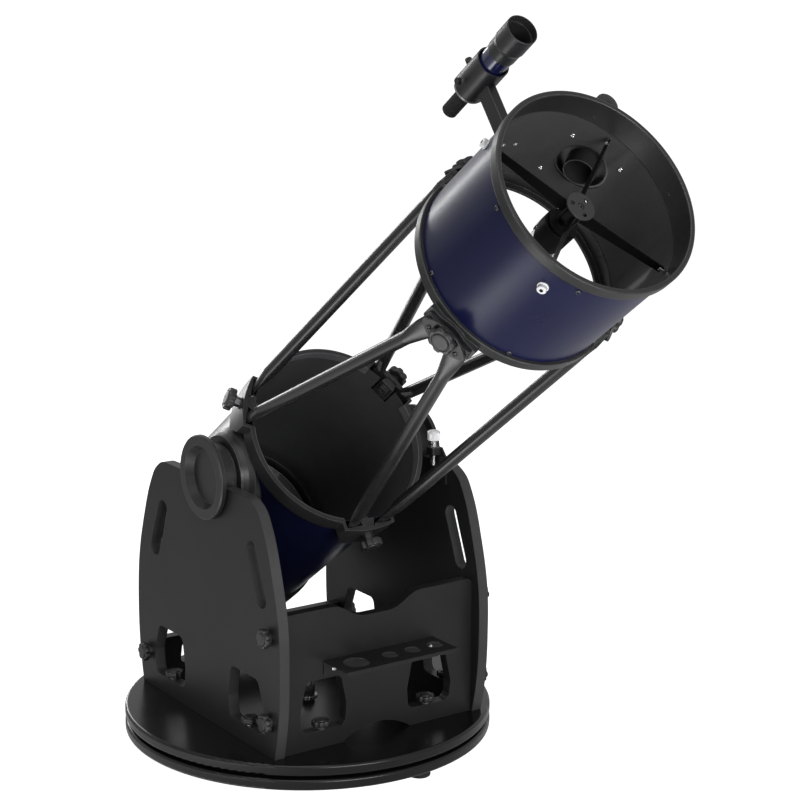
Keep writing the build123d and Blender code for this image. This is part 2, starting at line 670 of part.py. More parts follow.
# ================================================================ truss poles
def truss_pole(fitting_angle, fitting_side):
    """Round tube with flattened ends, from one top fitting to a neighbouring clamp."""
    clamp_angle = fitting_angle + 60 * fitting_side
    top_plane = facing(
        fitting_angle, FITTING_DEPTH, FITTING_STATION, POLE_SPREAD * fitting_side)
    low_plane = facing(clamp_angle, CLAMP_DEPTH, 100, -POLE_SPREAD * fitting_side)
    top = top_plane.origin
    low = low_plane.origin
    run = (top - low).normalized()
    top_out = outward(fitting_angle)
    low_out = outward(clamp_angle)
    down = (run * -1 + top_out * run.dot(top_out)).normalized()
    up = (run - low_out * run.dot(low_out)).normalized()
    top_wide = top_out.cross(down)
    low_wide = low_out.cross(up)
    round_top = top - run * 78
    round_low = low + run * 72
    with BuildPart() as pole:
        with BuildSketch(Plane(origin=top - down * 17, x_dir=top_wide, z_dir=down)):
            Ellipse(18.5, 3.9)
        extrude(amount=39)
        with BuildSketch(Plane(origin=top + down * 22, x_dir=top_wide, z_dir=down)):
            Ellipse(18.5, 3.9)
        with BuildSketch(Plane(origin=round_top, x_dir=top_out.cross(run * -1), z_dir=run * -1)):
            Circle(POLE_RADIUS)
        loft()
        with BuildSketch(Plane(origin=low - up * 14, x_dir=low_wide, z_dir=up)):
            Ellipse(13, 4)
        extrude(amount=32)
        with BuildSketch(Plane(origin=low + up * 18, x_dir=low_wide, z_dir=up)):
            Ellipse(13, 4)
        with BuildSketch(Plane(origin=round_low, x_dir=low_out.cross(run), z_dir=run)):
            Circle(POLE_RADIUS)
        loft()
        with BuildSketch(Plane(origin=round_low, x_dir=low_out.cross(run), z_dir=run)):
            Circle(POLE_RADIUS)
        extrude(amount=(round_top - round_low).length)
        with BuildSketch(Plane(origin=round_low + run * 3, z_dir=run)):
            Circle(POLE_RADIUS - 1.6)
        extrude(amount=(round_top - round_low).length - 6, mode=Mode.SUBTRACT)
        with BuildSketch(top_plane.offset(-6)):
            Circle(2.6)
        extrude(amount=12, mode=Mode.SUBTRACT)
    return pole.part


pole_number = 0
for fitting_angle in FITTING_ANGLES:
    for fitting_side in (-1, 1):
        pole_number += 1
        pole_part = truss_pole(fitting_angle, fitting_side)
        pole_part.label = "truss_pole_" + str(pole_number)
        export_step(pole_part, "parts/truss_pole_" + str(pole_number) + ".step")

# ================================================================ upper tube (cage)
RING_SCREW_ANGLES = (0, 60, 120, 180, 240, 300)
RING_SCREW_STATIONS = (802.0, 1010.0)
FOCUSER_SCREWS = [
    (FOCUSER_ANGLE + turn, FOCUSER_STATION + reach) for turn in (-16.3, 16.3) for reach in (-51, 51)
]
with BuildPart() as upper_tube:
    with BuildSketch(station(UPPER_TAIL)):
        Circle(TUBE_RADIUS)
        Circle(TUBE_BORE, mode=Mode.SUBTRACT)
    extrude(amount=UPPER_MOUTH - UPPER_TAIL)
    with BuildSketch(facing(FOCUSER_ANGLE, 150, FOCUSER_STATION)):
        Circle(47)
    extrude(amount=40, mode=Mode.SUBTRACT)
    for angle in VANE_ANGLES:
        with BuildSketch(facing(angle, 170, VANE_STATION)):
            Circle(3.2)
        extrude(amount=12, mode=Mode.SUBTRACT)
    for length in RING_SCREW_STATIONS:
        for angle in RING_SCREW_ANGLES:
            with BuildSketch(facing(angle, 170, length)):
                Circle(2.6)
            extrude(amount=12, mode=Mode.SUBTRACT)
    for angle, length in FOCUSER_SCREWS:
        with BuildSketch(facing(angle, 170, length)):
            Circle(2.2)
        extrude(amount=12, mode=Mode.SUBTRACT)
upper_tube.part.label = "upper_tube"
export_step(upper_tube.part, "parts/upper_tube.step")

with BuildPart() as front_ring:
    with BuildSketch(TUBE_PROFILE):
        Polygon(
            (TUBE_BORE - 1.6, 994), (TUBE_BORE - 0.1, 994),
            (TUBE_BORE - 0.1, UPPER_MOUTH + 0.1), (TUBE_RADIUS + 0.1, UPPER_MOUTH + 0.1),
            (TUBE_RADIUS + 0.1, 1023), (BAND_RADIUS - 0.8, 1023), (BAND_RADIUS, 1024.5),
            (BAND_RADIUS, 1041), (BAND_RADIUS - 0.8, 1042.4), (BAND_RADIUS - 2.4, 1043),
            (TUBE_BORE - 0.6, 1043), (TUBE_BORE - 1.6, 1042),
            align=None,
        )
    revolve(axis=TUBE_AXIS)
    for angle in RING_SCREW_ANGLES:
        with BuildSketch(facing(angle, 165, RING_SCREW_STATIONS[1])):
            Circle(2.6)
        extrude(amount=13, mode=Mode.SUBTRACT)
front_ring.part.label = "front_ring"
export_step(front_ring.part, "parts/front_ring.step")


def eye_outline(half_length, half_height, tip):
    """Eye-shaped outline of a truss fitting, its long axis around the tube."""
    with BuildSketch() as eye:
        with BuildLine():
            ThreePointArc((-half_length, 0), (0, half_height), (half_length, 0))
            ThreePointArc((half_length, 0), (0, -half_height), (-half_length, 0))
        make_face()
        fillet(eye.vertices(), radius=tip)
    return eye.sketch


PLATE_OUTLINE = eye_outline(48, 23.5, 5)
BLOCK_OUTLINE = eye_outline(54, 27, 6)
PLATE_DEPTH = FITTING_DEPTH + 4.3
REAR_OPENING = 163.0       # radius of the opening in the cage's rear flange
KNOB_REACH = 8.0           # fitting knob, forwards of its plate's two screws
with BuildPart() as upper_truss_ring:
    for angle in FITTING_ANGLES:
        with BuildSketch(facing(angle, 150, FITTING_STATION)):
            with Locations((0, 2)):
                add(BLOCK_OUTLINE)
            with Locations((0, 12)):
                Rectangle(104, 24)
        extrude(amount=FITTING_DEPTH - 4.3 - 150)
    with BuildSketch(station(700)):
        Circle(250)
        Circle(TUBE_BORE - 1.6, mode=Mode.SUBTRACT)
    extrude(amount=90, mode=Mode.INTERSECT)
    with BuildSketch(TUBE_PROFILE):
        Polygon(
            (REAR_OPENING, 778), (BAND_RADIUS + 0.6, 778), (BAND_RADIUS + 0.6, 795),
            (BAND_RADIUS - 0.4, 796), (TUBE_RADIUS + 0.1, 796),
            (TUBE_RADIUS + 0.1, UPPER_TAIL - 0.1), (TUBE_BORE - 0.1, UPPER_TAIL - 0.1),
            (TUBE_BORE - 0.1, 808), (TUBE_BORE - 1.6, 808), (TUBE_BORE - 1.6, 783),
            (REAR_OPENING, 783),
            align=None,
        )
    revolve(axis=TUBE_AXIS)
    with BuildSketch(station(UPPER_TAIL - 0.1)):
        Circle(TUBE_RADIUS + 0.1)
        Circle(TUBE_BORE - 0.1, mode=Mode.SUBTRACT)
    extrude(amount=30, mode=Mode.SUBTRACT)
    for angle in FITTING_ANGLES:
        with BuildSketch(facing(angle, 178, FITTING_STATION)):
            with Locations((0, KNOB_REACH)):
                Circle(4.08)
            with Locations((-POLE_SPREAD, 0), (POLE_SPREAD, 0)):
                Circle(2.6)
        extrude(amount=16, mode=Mode.SUBTRACT)
    for angle in RING_SCREW_ANGLES:
        with BuildSketch(facing(angle, 165, RING_SCREW_STATIONS[0])):
            Circle(2.6)
        extrude(amount=13, mode=Mode.SUBTRACT)
upper_truss_ring.part.label = "upper_truss_ring"
export_step(upper_truss_ring.part, "parts/upper_truss_ring.step")

with BuildPart() as fitting_plates:
    for angle in FITTING_ANGLES:
        with BuildSketch(facing(angle, PLATE_DEPTH, FITTING_STATION)):
            with Locations((0, 4)):
                add(PLATE_OUTLINE)
            with Locations((0, KNOB_REACH)):
                Circle(4.08, mode=Mode.SUBTRACT)
            with Locations((-POLE_SPREAD, 0), (POLE_SPREAD, 0)):
                Circle(2.6, mode=Mode.SUBTRACT)
        extrude(amount=4.5)
fitting_plates.part.label = "fitting_plates"
export_step(fitting_plates.part, "parts/fitting_plates.step")

for name, angle in zip(("top", "left", "right"), FITTING_ANGLES):
    fitting_seat = facing(angle, PLATE_DEPTH + 4.8, FITTING_STATION + KNOB_REACH)
    fitting_knob = hand_knob(fitting_seat, 23.5, 11, 1, 4, 24)
    fitting_knob.label = "fitting_knob_" + name
    export_step(fitting_knob, "parts/fitting_knob_" + name + ".step")


def button_screw(seat, shank):
    """Button-head socket screw whose head stands on `seat`."""
    with BuildPart() as screw:
        with BuildSketch(seat):
            Circle(4.6)
        extrude(amount=3.2, taper=22)
        with BuildSketch(seat.offset(3.2)):
            RegularPolygon(1.7, 6)
        extrude(amount=-2, mode=Mode.SUBTRACT)
        with BuildSketch(seat.offset(-shank)):
            Circle(2.5)
        extrude(amount=shank)
    return screw.part


# Button-head screws: twelve in the cage rings, six in the fitting plates.
tube_screw_shapes = []
for length in RING_SCREW_STATIONS:
    for angle in RING_SCREW_ANGLES:
        tube_screw_shapes.append(button_screw(facing(angle, TUBE_RADIUS + 0.1, length), 5))
for angle in FITTING_ANGLES:
    for shift in (-POLE_SPREAD, POLE_SPREAD):
        plate_seat = facing(angle, PLATE_DEPTH + 4.6, FITTING_STATION, shift)
        tube_screw_shapes.append(button_screw(plate_seat, 20))
with BuildPart() as tube_screws:
    for shape in tube_screw_shapes:
        add(shape)
tube_screws.part.label = "tube_screws"
export_step(tube_screws.part, "parts/tube_screws.step")

# ---------------------------------------------------------------- spider and secondary
HUB_FRONT = 993.0
with BuildPart() as spider_vanes:
    for angle in VANE_ANGLES:
        strip = Plane(origin=PIVOT, x_dir=outward(angle), z_dir=around(angle) * -1)
        with BuildSketch(strip):
            Polygon(
                (14.1, 960), (14.1, 986), (168, 990), (172, 986), (172, 978), (168, 974),
                align=None,
            )
        extrude(amount=0.6, both=True)
        with BuildSketch(facing(angle, 166, VANE_STATION)):
            Circle(3)
        extrude(amount=23)
spider_vanes.part.label = "spider_vanes"
export_step(spider_vanes.part, "parts/spider_vanes.step")

with BuildPart() as spider_nuts:
    for angle in VANE_ANGLES:
        with BuildSketch(facing(angle, TUBE_RADIUS + 0.3, VANE_STATION)):
            Circle(9.5)
            Circle(3.05, mode=Mode.SUBTRACT)
        extrude(amount=2)
        with BuildSketch(facing(angle, TUBE_RADIUS + 2.3, VANE_STATION)):
            Circle(8)
            Circle(3.05, mode=Mode.SUBTRACT)
        extrude(amount=8)
spider_nuts.part.label = "spider_nuts"
export_step(spider_nuts.part, "parts/spider_nuts.step")

with BuildPart() as spider_hub:
    with BuildSketch(station(954)):
        Circle(14)
        Circle(4.1, mode=Mode.SUBTRACT)
    extrude(amount=HUB_FRONT - 3 - 954)
    with BuildSketch(station(HUB_FRONT - 3)):
        Circle(27)
        Circle(4.1, mode=Mode.SUBTRACT)
        with PolarLocations(18.5, 3, start_angle=90):
            SlotOverall(9, 4.6, mode=Mode.SUBTRACT)
    extrude(amount=3)
    for angle in VANE_ANGLES:
        strip = Plane(origin=PIVOT, x_dir=outward(angle), z_dir=around(angle) * -1)
        with BuildSketch(strip):
            Polygon((13.9, 959), (13.9, 987), (16, 987), (16, 959), align=None)
        extrude(amount=0.7, both=True, mode=Mode.SUBTRACT)
spider_hub.part.label = "spider_hub"
export_step(spider_hub.part, "parts/spider_hub.step")

# Diagonal mirror: a slanted slice of a cylinder, bonded to the slanted end of its holder.
DIAGONAL_RADIUS = 29.5
DIAGONAL_THICKNESS = 10.0
DIAGONAL_CENTRE = PIVOT + ALONG * FOCUSER_STATION
DIAGONAL_NORMAL = (outward(FOCUSER_ANGLE) - ALONG).normalized()
with BuildPart() as secondary_mirror:
    with BuildSketch(station(830)):
        Circle(DIAGONAL_RADIUS)
    extrude(amount=140)
    split(
        bisect_by=Plane(origin=DIAGONAL_CENTRE, z_dir=DIAGONAL_NORMAL),
        keep=Keep.BOTTOM,
    )
    split(
        bisect_by=Plane(
            origin=DIAGONAL_CENTRE - DIAGONAL_NORMAL * DIAGONAL_THICKNESS,
            z_dir=DIAGONAL_NORMAL,
        ),
        keep=Keep.TOP,
    )
secondary_mirror.part.label = "secondary_mirror"
export_step(secondary_mirror.part, "parts/secondary_mirror.step")

with BuildPart() as secondary_holder:
    with BuildSketch(station(840)):
        Circle(DIAGONAL_RADIUS)
    extrude(amount=93)
    with BuildSketch(station(933)):
        Circle(26)
    extrude(amount=8)
    with BuildSketch(station(941)):
        Circle(11)
    extrude(amount=12.5)
    with BuildSketch(station(921)):
        Circle(4.1)
    extrude(amount=33, mode=Mode.SUBTRACT)
    split(
        bisect_by=Plane(
            origin=DIAGONAL_CENTRE - DIAGONAL_NORMAL * (DIAGONAL_THICKNESS + 0.1),
            z_dir=DIAGONAL_NORMAL,
        ),
        keep=Keep.BOTTOM,
    )
secondary_holder.part.label = "secondary_holder"
export_step(secondary_holder.part, "parts/secondary_holder.step")

# Centre bolt and three push screws that tilt the diagonal.
with BuildPart() as secondary_screws:
    with BuildSketch(station(922)):
        Circle(4)
    extrude(amount=HUB_FRONT + 0.1 - 922)
    with BuildSketch(station(HUB_FRONT + 0.1)):
        Circle(7)
    extrude(amount=3.5, taper=20)
    for turn in (90, 210, 330):
        with BuildSketch(turned(turn, 941.1)):
            with Locations((18.5, 0)):
                Circle(2.2)
        extrude(amount=HUB_FRONT - 1 - 941.1)
secondary_screws.part.label = "secondary_screws"
export_step(secondary_screws.part, "parts/secondary_screws.step")

# ---------------------------------------------------------------- focuser
DRAW_RADIUS = 27.5
SHAFT_SHIFT = 31.0         # focusing shaft beside the drawtube
SHAFT_DEPTH = 226.0
BODY_TOP = 254.0
FOCUSER_SEAT = facing(FOCUSER_ANGLE, 150, FOCUSER_STATION)
with BuildPart() as focuser_body:
    with BuildSketch(FOCUSER_SEAT):
        RectangleRounded(118, 122, 14)
    extrude(amount=189 - 150)
    with BuildSketch(facing(FOCUSER_ANGLE, 188, FOCUSER_STATION)):
        Circle(48)
    extrude(amount=8, taper=20)
    with BuildSketch(facing(FOCUSER_ANGLE, 190, FOCUSER_STATION)):
        Circle(35)
    extrude(amount=BODY_TOP - 190)
    with BuildSketch(facing(FOCUSER_ANGLE, 208, FOCUSER_STATION)):
        with Locations((SHAFT_SHIFT + 1, 0)):
            RectangleRounded(26, 84, 5)
    extrude(amount=34)
    with BuildSketch(station(FOCUSER_STATION - 100)):
        Circle(TUBE_RADIUS + 0.1)
    extrude(amount=200, mode=Mode.SUBTRACT)
    with BuildSketch(FOCUSER_SEAT):
        Circle(43)
    extrude(amount=188 - 150, mode=Mode.SUBTRACT)
    with BuildSketch(FOCUSER_SEAT):
        Circle(DRAW_RADIUS + 0.3)
    extrude(amount=120, mode=Mode.SUBTRACT)
    shaft_plane = Plane(
        origin=facing(
            FOCUSER_ANGLE, SHAFT_DEPTH, FOCUSER_STATION - 60, SHAFT_SHIFT).origin,
        x_dir=ACROSS,
        z_dir=ALONG,
    )
    with BuildSketch(shaft_plane):
        Circle(3.08)
    extrude(amount=120, mode=Mode.SUBTRACT)
    for angle, length in FOCUSER_SCREWS:
        with BuildSketch(facing(angle, 170, length)):
            Circle(2.2)
        extrude(amount=24, mode=Mode.SUBTRACT)
focuser_body.part.label = "focuser_body"
export_step(focuser_body.part, "parts/focuser_body.step")

with BuildPart() as focuser_drawtube:
    with BuildSketch(facing(FOCUSER_ANGLE, 159, FOCUSER_STATION)):
        Circle(DRAW_RADIUS)
    extrude(amount=119)
    with BuildSketch(facing(FOCUSER_ANGLE, 278, FOCUSER_STATION)):
        Circle(33)
    extrude(amount=18)
    with BuildSketch(facing(FOCUSER_ANGLE, 150, FOCUSER_STATION)):
        Circle(25.5)
    extrude(amount=150, mode=Mode.SUBTRACT)
    with BuildSketch(facing(FOCUSER_ANGLE + 90, 32, FOCUSER_STATION, -287)):
        Circle(5)
    extrude(amount=12)
focuser_drawtube.part.label = "focuser_drawtube"
export_step(focuser_drawtube.part, "parts/focuser_drawtube.step")


def shaft_station(length):
    """Plane square to the focusing shaft."""
    beside = facing(FOCUSER_ANGLE, SHAFT_DEPTH, length, SHAFT_SHIFT)
    return Plane(origin=beside.origin, x_dir=ACROSS, z_dir=ALONG)


with BuildPart() as focus_knobs:
    with BuildSketch(shaft_station(800)):
        Circle(3)
    extrude(amount=194)
    for start in (796.0, 966.0):
        with BuildSketch(shaft_station(start)):
            Circle(21)
            with PolarLocations(21.4, 20):
                Circle(1.5, mode=Mode.SUBTRACT)
        extrude(amount=32)
    with BuildSketch(shaft_station(946)):
        Circle(12)
    extrude(amount=20)
focus_knobs.part.label = "focus_knobs"
export_step(focus_knobs.part, "parts/focus_knobs.step")

focuser_screw_shapes = []
for angle, length in FOCUSER_SCREWS:
    inside = facing(angle, TUBE_BORE - 0.1, length)
    inward_seat = Plane(origin=inside.origin, x_dir=inside.x_dir, z_dir=inside.z_dir * -1)
    with BuildPart() as focuser_screw:
        with BuildSketch(inward_seat):
            Circle(4.6)
        extrude(amount=2.6, taper=22)
        with BuildSketch(inward_seat.offset(-11)):
            Circle(2.1)
        extrude(amount=11)
    focuser_screw_shapes.append(focuser_screw.part)
with BuildPart() as focuser_screws:
    for shape in focuser_screw_shapes:
        add(shape)
focuser_screws.part.label = "focuser_screws"
export_step(focuser_screws.part, "parts/focuser_screws.step")

# ---------------------------------------------------------------- finder telescope
FINDER_LINE = PIVOT + outward(FINDER_ANGLE) * FINDER_RADIUS
FINDER_AXIS = Axis(FINDER_LINE, ALONG)
FINDER_PROFILE = Plane(origin=FINDER_LINE, x_dir=ACROSS, z_dir=UPWARD * -1)


def finder_station(length):
    """Plane square to the finder's own axis."""
    return Plane(origin=FINDER_LINE + ALONG * length, x_dir=ACROSS, z_dir=ALONG)


def finder_side(angle, radius, length):
    """Plane on the finder's side, z outwards from the finder's own axis."""
    origin = FINDER_LINE + ALONG * length + outward(angle) * radius
    return Plane(origin=origin, x_dir=around(angle), z_dir=outward(angle))


SHOE_SCREW_PLANE = Plane(
    origin=facing(FINDER_ANGLE, 192.5, SHOE_STATION - 22, 11.1).origin,
    x_dir=ALONG,
    z_dir=around(FINDER_ANGLE),
)
with BuildPart() as finder_shoe:
    with BuildSketch(facing(FINDER_ANGLE, 160, SHOE_STATION)):
        RectangleRounded(40, 72, 5)
    extrude(amount=24)
    with BuildSketch(facing(FINDER_ANGLE, 183, SHOE_STATION)):
        RectangleRounded(36, 62, 3)
    extrude(amount=14)
    with BuildSketch(facing(FINDER_ANGLE, 188, SHOE_STATION)):
        Rectangle(22, 80)
    extrude(amount=12, mode=Mode.SUBTRACT)
    with BuildSketch(station(SHOE_STATION - 60)):
        Circle(TUBE_RADIUS + 0.1)
    extrude(amount=120, mode=Mode.SUBTRACT)
    with BuildSketch(SHOE_SCREW_PLANE):
        Circle(2.6)
    extrude(amount=20, mode=Mode.SUBTRACT)
finder_shoe.part.label = "finder_shoe"
export_step(finder_shoe.part, "parts/finder_shoe.step")

with BuildPart() as finder_bracket:
    with BuildSketch(facing(FINDER_ANGLE, 188.2, SHOE_STATION)):
        Rectangle(21.6, 56)
    extrude(amount=9)
    with BuildSketch(facing(FINDER_ANGLE, 197, SHOE_STATION)):
        RectangleRounded(20, 32, 4)
    extrude(amount=FINDER_RADIUS - 28.5 - 197)
    with BuildSketch(finder_station(857)):
        Circle(30)
    extrude(amount=78)
    with BuildSketch(finder_station(857)):
        Circle(27.5)
    extrude(amount=78, mode=Mode.SUBTRACT)
    for angle in (90, 180):
        with BuildSketch(finder_side(angle, 26, 880)):
            Circle(2.6)
        extrude(amount=10, mode=Mode.SUBTRACT)
finder_bracket.part.label = "finder_bracket"
export_step(finder_bracket.part, "parts/finder_bracket.step")

with BuildPart() as finder_tube:
    with BuildSketch(FINDER_PROFILE):
        Polygon(
            (12.4, 850.5), (27.5, 850.5), (28, 851), (28, 856.5), (25, 856.5), (25, 985),
            (23.5, 985), (23.5, 858), (12.4, 858),
            align=None,
        )
    revolve(axis=FINDER_AXIS)
finder_tube.part.label = "finder_tube"
export_step(finder_tube.part, "parts/finder_tube.step")

with BuildPart() as finder_dew_shield:
    with BuildSketch(FINDER_PROFILE):
        Polygon(
            (25.1, 963), (26.3, 963), (26.5, 983), (28.3, 990), (28.3, 1028), (27.6, 1029),
            (26.8, 1029), (26.4, 1028), (26.4, 1014), (24.6, 1014), (24.6, 988), (25.1, 988),
            align=None,
        )
    revolve(axis=FINDER_AXIS)
finder_dew_shield.part.label = "finder_dew_shield"
export_step(finder_dew_shield.part, "parts/finder_dew_shield.step")

with BuildPart() as finder_lens:
    with BuildSketch(finder_station(974)):
        Circle(23.4)
    extrude(amount=12)
    with Locations(Location(FINDER_LINE + ALONG * (983.5 - 75))):
        Sphere(75, mode=Mode.INTERSECT)
finder_lens.part.label = "finder_lens"
export_step(finder_lens.part, "parts/finder_lens.step")

with BuildPart() as finder_eyepiece:
    with BuildSketch(finder_station(784)):
        Circle(14.2)
    extrude(amount=60)
    with BuildSketch(finder_station(844)):
        Circle(16.5)
    extrude(amount=6)
    with BuildSketch(finder_station(850)):
        Circle(12.1)
    extrude(amount=12)
    with BuildSketch(finder_station(784)):
        Circle(9)
    extrude(amount=6, mode=Mode.SUBTRACT)
finder_eyepiece.part.label = "finder_eyepiece"
export_step(finder_eyepiece.part, "parts/finder_eyepiece.step")

# Two adjusting screws in the bracket and the clamp screw of the shoe.
with BuildPart() as finder_screws:
    for angle in (90, 180):
        with BuildSketch(finder_side(angle, 25.1, 880)):
            Circle(2.5)
        extrude(amount=11)
        with BuildSketch(finder_side(angle, 34.5, 880)):
            Circle(6)
        extrude(amount=9)
    with BuildSketch(SHOE_SCREW_PLANE):
        Circle(2.5)
    extrude(amount=14)
    with BuildSketch(SHOE_SCREW_PLANE.offset(12)):
        Circle(7)
    extrude(amount=10)
finder_screws.part.label = "finder_screws"
export_step(finder_screws.part, "parts/finder_screws.step")
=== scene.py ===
import math

import bmesh
import bpy
from mathutils import Matrix, Vector


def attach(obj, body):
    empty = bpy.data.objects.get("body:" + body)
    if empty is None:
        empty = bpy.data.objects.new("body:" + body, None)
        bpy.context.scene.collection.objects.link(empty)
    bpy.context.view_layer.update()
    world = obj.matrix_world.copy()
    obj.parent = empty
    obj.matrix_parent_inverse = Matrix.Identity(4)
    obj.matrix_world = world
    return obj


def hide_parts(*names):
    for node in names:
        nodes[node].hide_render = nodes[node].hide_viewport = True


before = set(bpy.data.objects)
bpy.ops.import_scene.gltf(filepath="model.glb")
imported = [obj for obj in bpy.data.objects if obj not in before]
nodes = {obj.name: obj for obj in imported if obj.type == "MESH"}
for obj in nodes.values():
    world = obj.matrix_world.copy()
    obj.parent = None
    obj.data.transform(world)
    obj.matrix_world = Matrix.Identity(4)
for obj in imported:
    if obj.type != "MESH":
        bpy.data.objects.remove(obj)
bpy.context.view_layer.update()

# ------------------------------------------------------------------ the tube's own frame, metres
MM = 0.001
ALTITUDE = math.radians(36)
ACROSS = Vector((1, 0, 0))
UPWARD = Vector((0, math.sin(ALTITUDE), math.cos(ALTITUDE)))
ALONG = Vector((0, -math.cos(ALTITUDE), math.sin(ALTITUDE)))
PIVOT = Vector((0, -0.012, 0.560))

# Stations are mm along the tube from the pivot; angles are degrees around it, 90 at the top.
FINDER_ANGLE = 91
FINDER_HEIGHT = 308         # mm from the tube's axis to the finder's
FINDER_REAR = 857           # station of the finder tube's rear plate
FINDER_SCREWS = 880
SHOE_STATION = 893
FOCUSER_ANGLE = 45
FOCUSER_STATION = 897
SPIDER_ANGLES = (45, 135, 225, 315)
SPIDER_STATION = 982
CLAMP_ANGLES = {"left": 150, "right": 30, "bottom": 270}
CLAMP_STATION = 102
FITTING_ANGLES = {"top": 90, "left": 210, "right": 330}
FITTING_STATION = 768
TUBE_OUTSIDE = 178.1        # mm from the axis, where screw heads sit
TUBE_INSIDE = 176.4

# Where a piece's finish changes: metres from the tube's axis, and a station.
LINING_RADIUS = 0.1772
SKIRT_RADIUS = 0.1758
GLASS_RADIUS = 0.1517
GLASS_FACE = -326

# The rocker box, mm.
PANEL_CENTRES = (-222.5, 233.5)
PANEL_FACES = (-233.7, 244.7)
TENSION_SCREW = Vector((0.2094, -0.134, 0.598))


def outward(angle):
    """Unit vector away from the tube's axis; 0 is +X and 90 is the top."""
    turn = math.radians(angle)
    return ACROSS * math.cos(turn) + UPWARD * math.sin(turn)


def around(angle):
    """Unit vector round the tube, square to outward(angle)."""
    turn = math.radians(angle)
    return UPWARD * math.cos(turn) - ACROSS * math.sin(turn)


def on_tube(angle, radius, length, shift=0.0):
    """A point by its angle, its distance from the axis and its station along it, in mm."""
    return PIVOT + (ALONG * length + outward(angle) * radius + around(angle) * shift) * MM


def seat(origin, z_axis, x_hint):
    """Placement matrix whose z axis is z_axis."""
    z = Vector(z_axis).normalized()
    x = (Vector(x_hint) - z * z.dot(Vector(x_hint))).normalized()
    y = z.cross(x)
    out = Matrix((x, y, z)).transposed().to_4x4()
    out.translation = origin
    return out


# ------------------------------------------------------------------ materials
def tree_of(name):
    """A new node material, its tree and its shader."""
    mat = bpy.data.materials.new(name)
    mat.use_nodes = True
    tree = mat.node_tree
    shader = tree.nodes["Principled BSDF"]
    return mat, tree, shader


def node(tree, kind, inputs=None, **settings):
    """Adds a node; `inputs` are sockets to link or values to set."""
    made = tree.nodes.new(kind)
    for key, value in settings.items():
        setattr(made, key, value)
    for key, value in (inputs or {}).items():
        if isinstance(value, bpy.types.NodeSocket):
            tree.links.new(value, made.inputs[key])
        else:
            made.inputs[key].default_value = value
    return made


def math_node(tree, operation, a, b=0.0, clamp=False):
    made = node(tree, "ShaderNodeMath", {0: a, 1: b}, operation=operation, use_clamp=clamp)
    return made.outputs[0]


def ramp(tree, value, low, high, to_low, to_high):
    """Maps value from low..high to to_low..to_high, held at both ends."""
    made = node(tree, "ShaderNodeMapRange", {
        "Value": value, "From Min": low, "From Max": high, "To Min": to_low, "To Max": to_high})
    return made.outputs["Result"]


def step(tree, value, at, below, above):
    """One value below `at` and another above it."""
    return ramp(tree, value, at - 0.0001, at + 0.0001, below, above)


def mix_colour(tree, factor, a, b):
    made = node(tree, "ShaderNodeMix", {0: factor, 6: a, 7: b}, data_type="RGBA")
    return made.outputs[2]


def colour4(rgb):
    return (rgb[0], rgb[1], rgb[2], 1.0)


def tube_radius_value(tree, place):
    """Distance from the tube's axis, in the piece's own coordinates."""
    off = node(tree, "ShaderNodeVectorMath", {0: place, 1: tuple(PIVOT)}, operation="SUBTRACT")
    cross = node(tree, "ShaderNodeVectorMath", {0: off.outputs[0], 1: tuple(ALONG)},
                 operation="CROSS_PRODUCT")
    length = node(tree, "ShaderNodeVectorMath", {0: cross.outputs[0]}, operation="LENGTH")
    return length.outputs["Value"]


def plane_value(tree, place, point, normal):
    """Signed distance from a plane, in the piece's own coordinates."""
    off = node(tree, "ShaderNodeVectorMath", {0: place, 1: tuple(point)}, operation="SUBTRACT")
    return node(tree, "ShaderNodeVectorMath", {0: off.outputs[0], 1: tuple(normal)},
                operation="DOT_PRODUCT").outputs["Value"]


def times_grey(tree, colour, grey):
    made = node(tree, "ShaderNodeMix", {0: 1.0, 6: colour4(colour), 7: grey},
                data_type="RGBA", blend_type="MULTIPLY")
    return made.outputs[2]


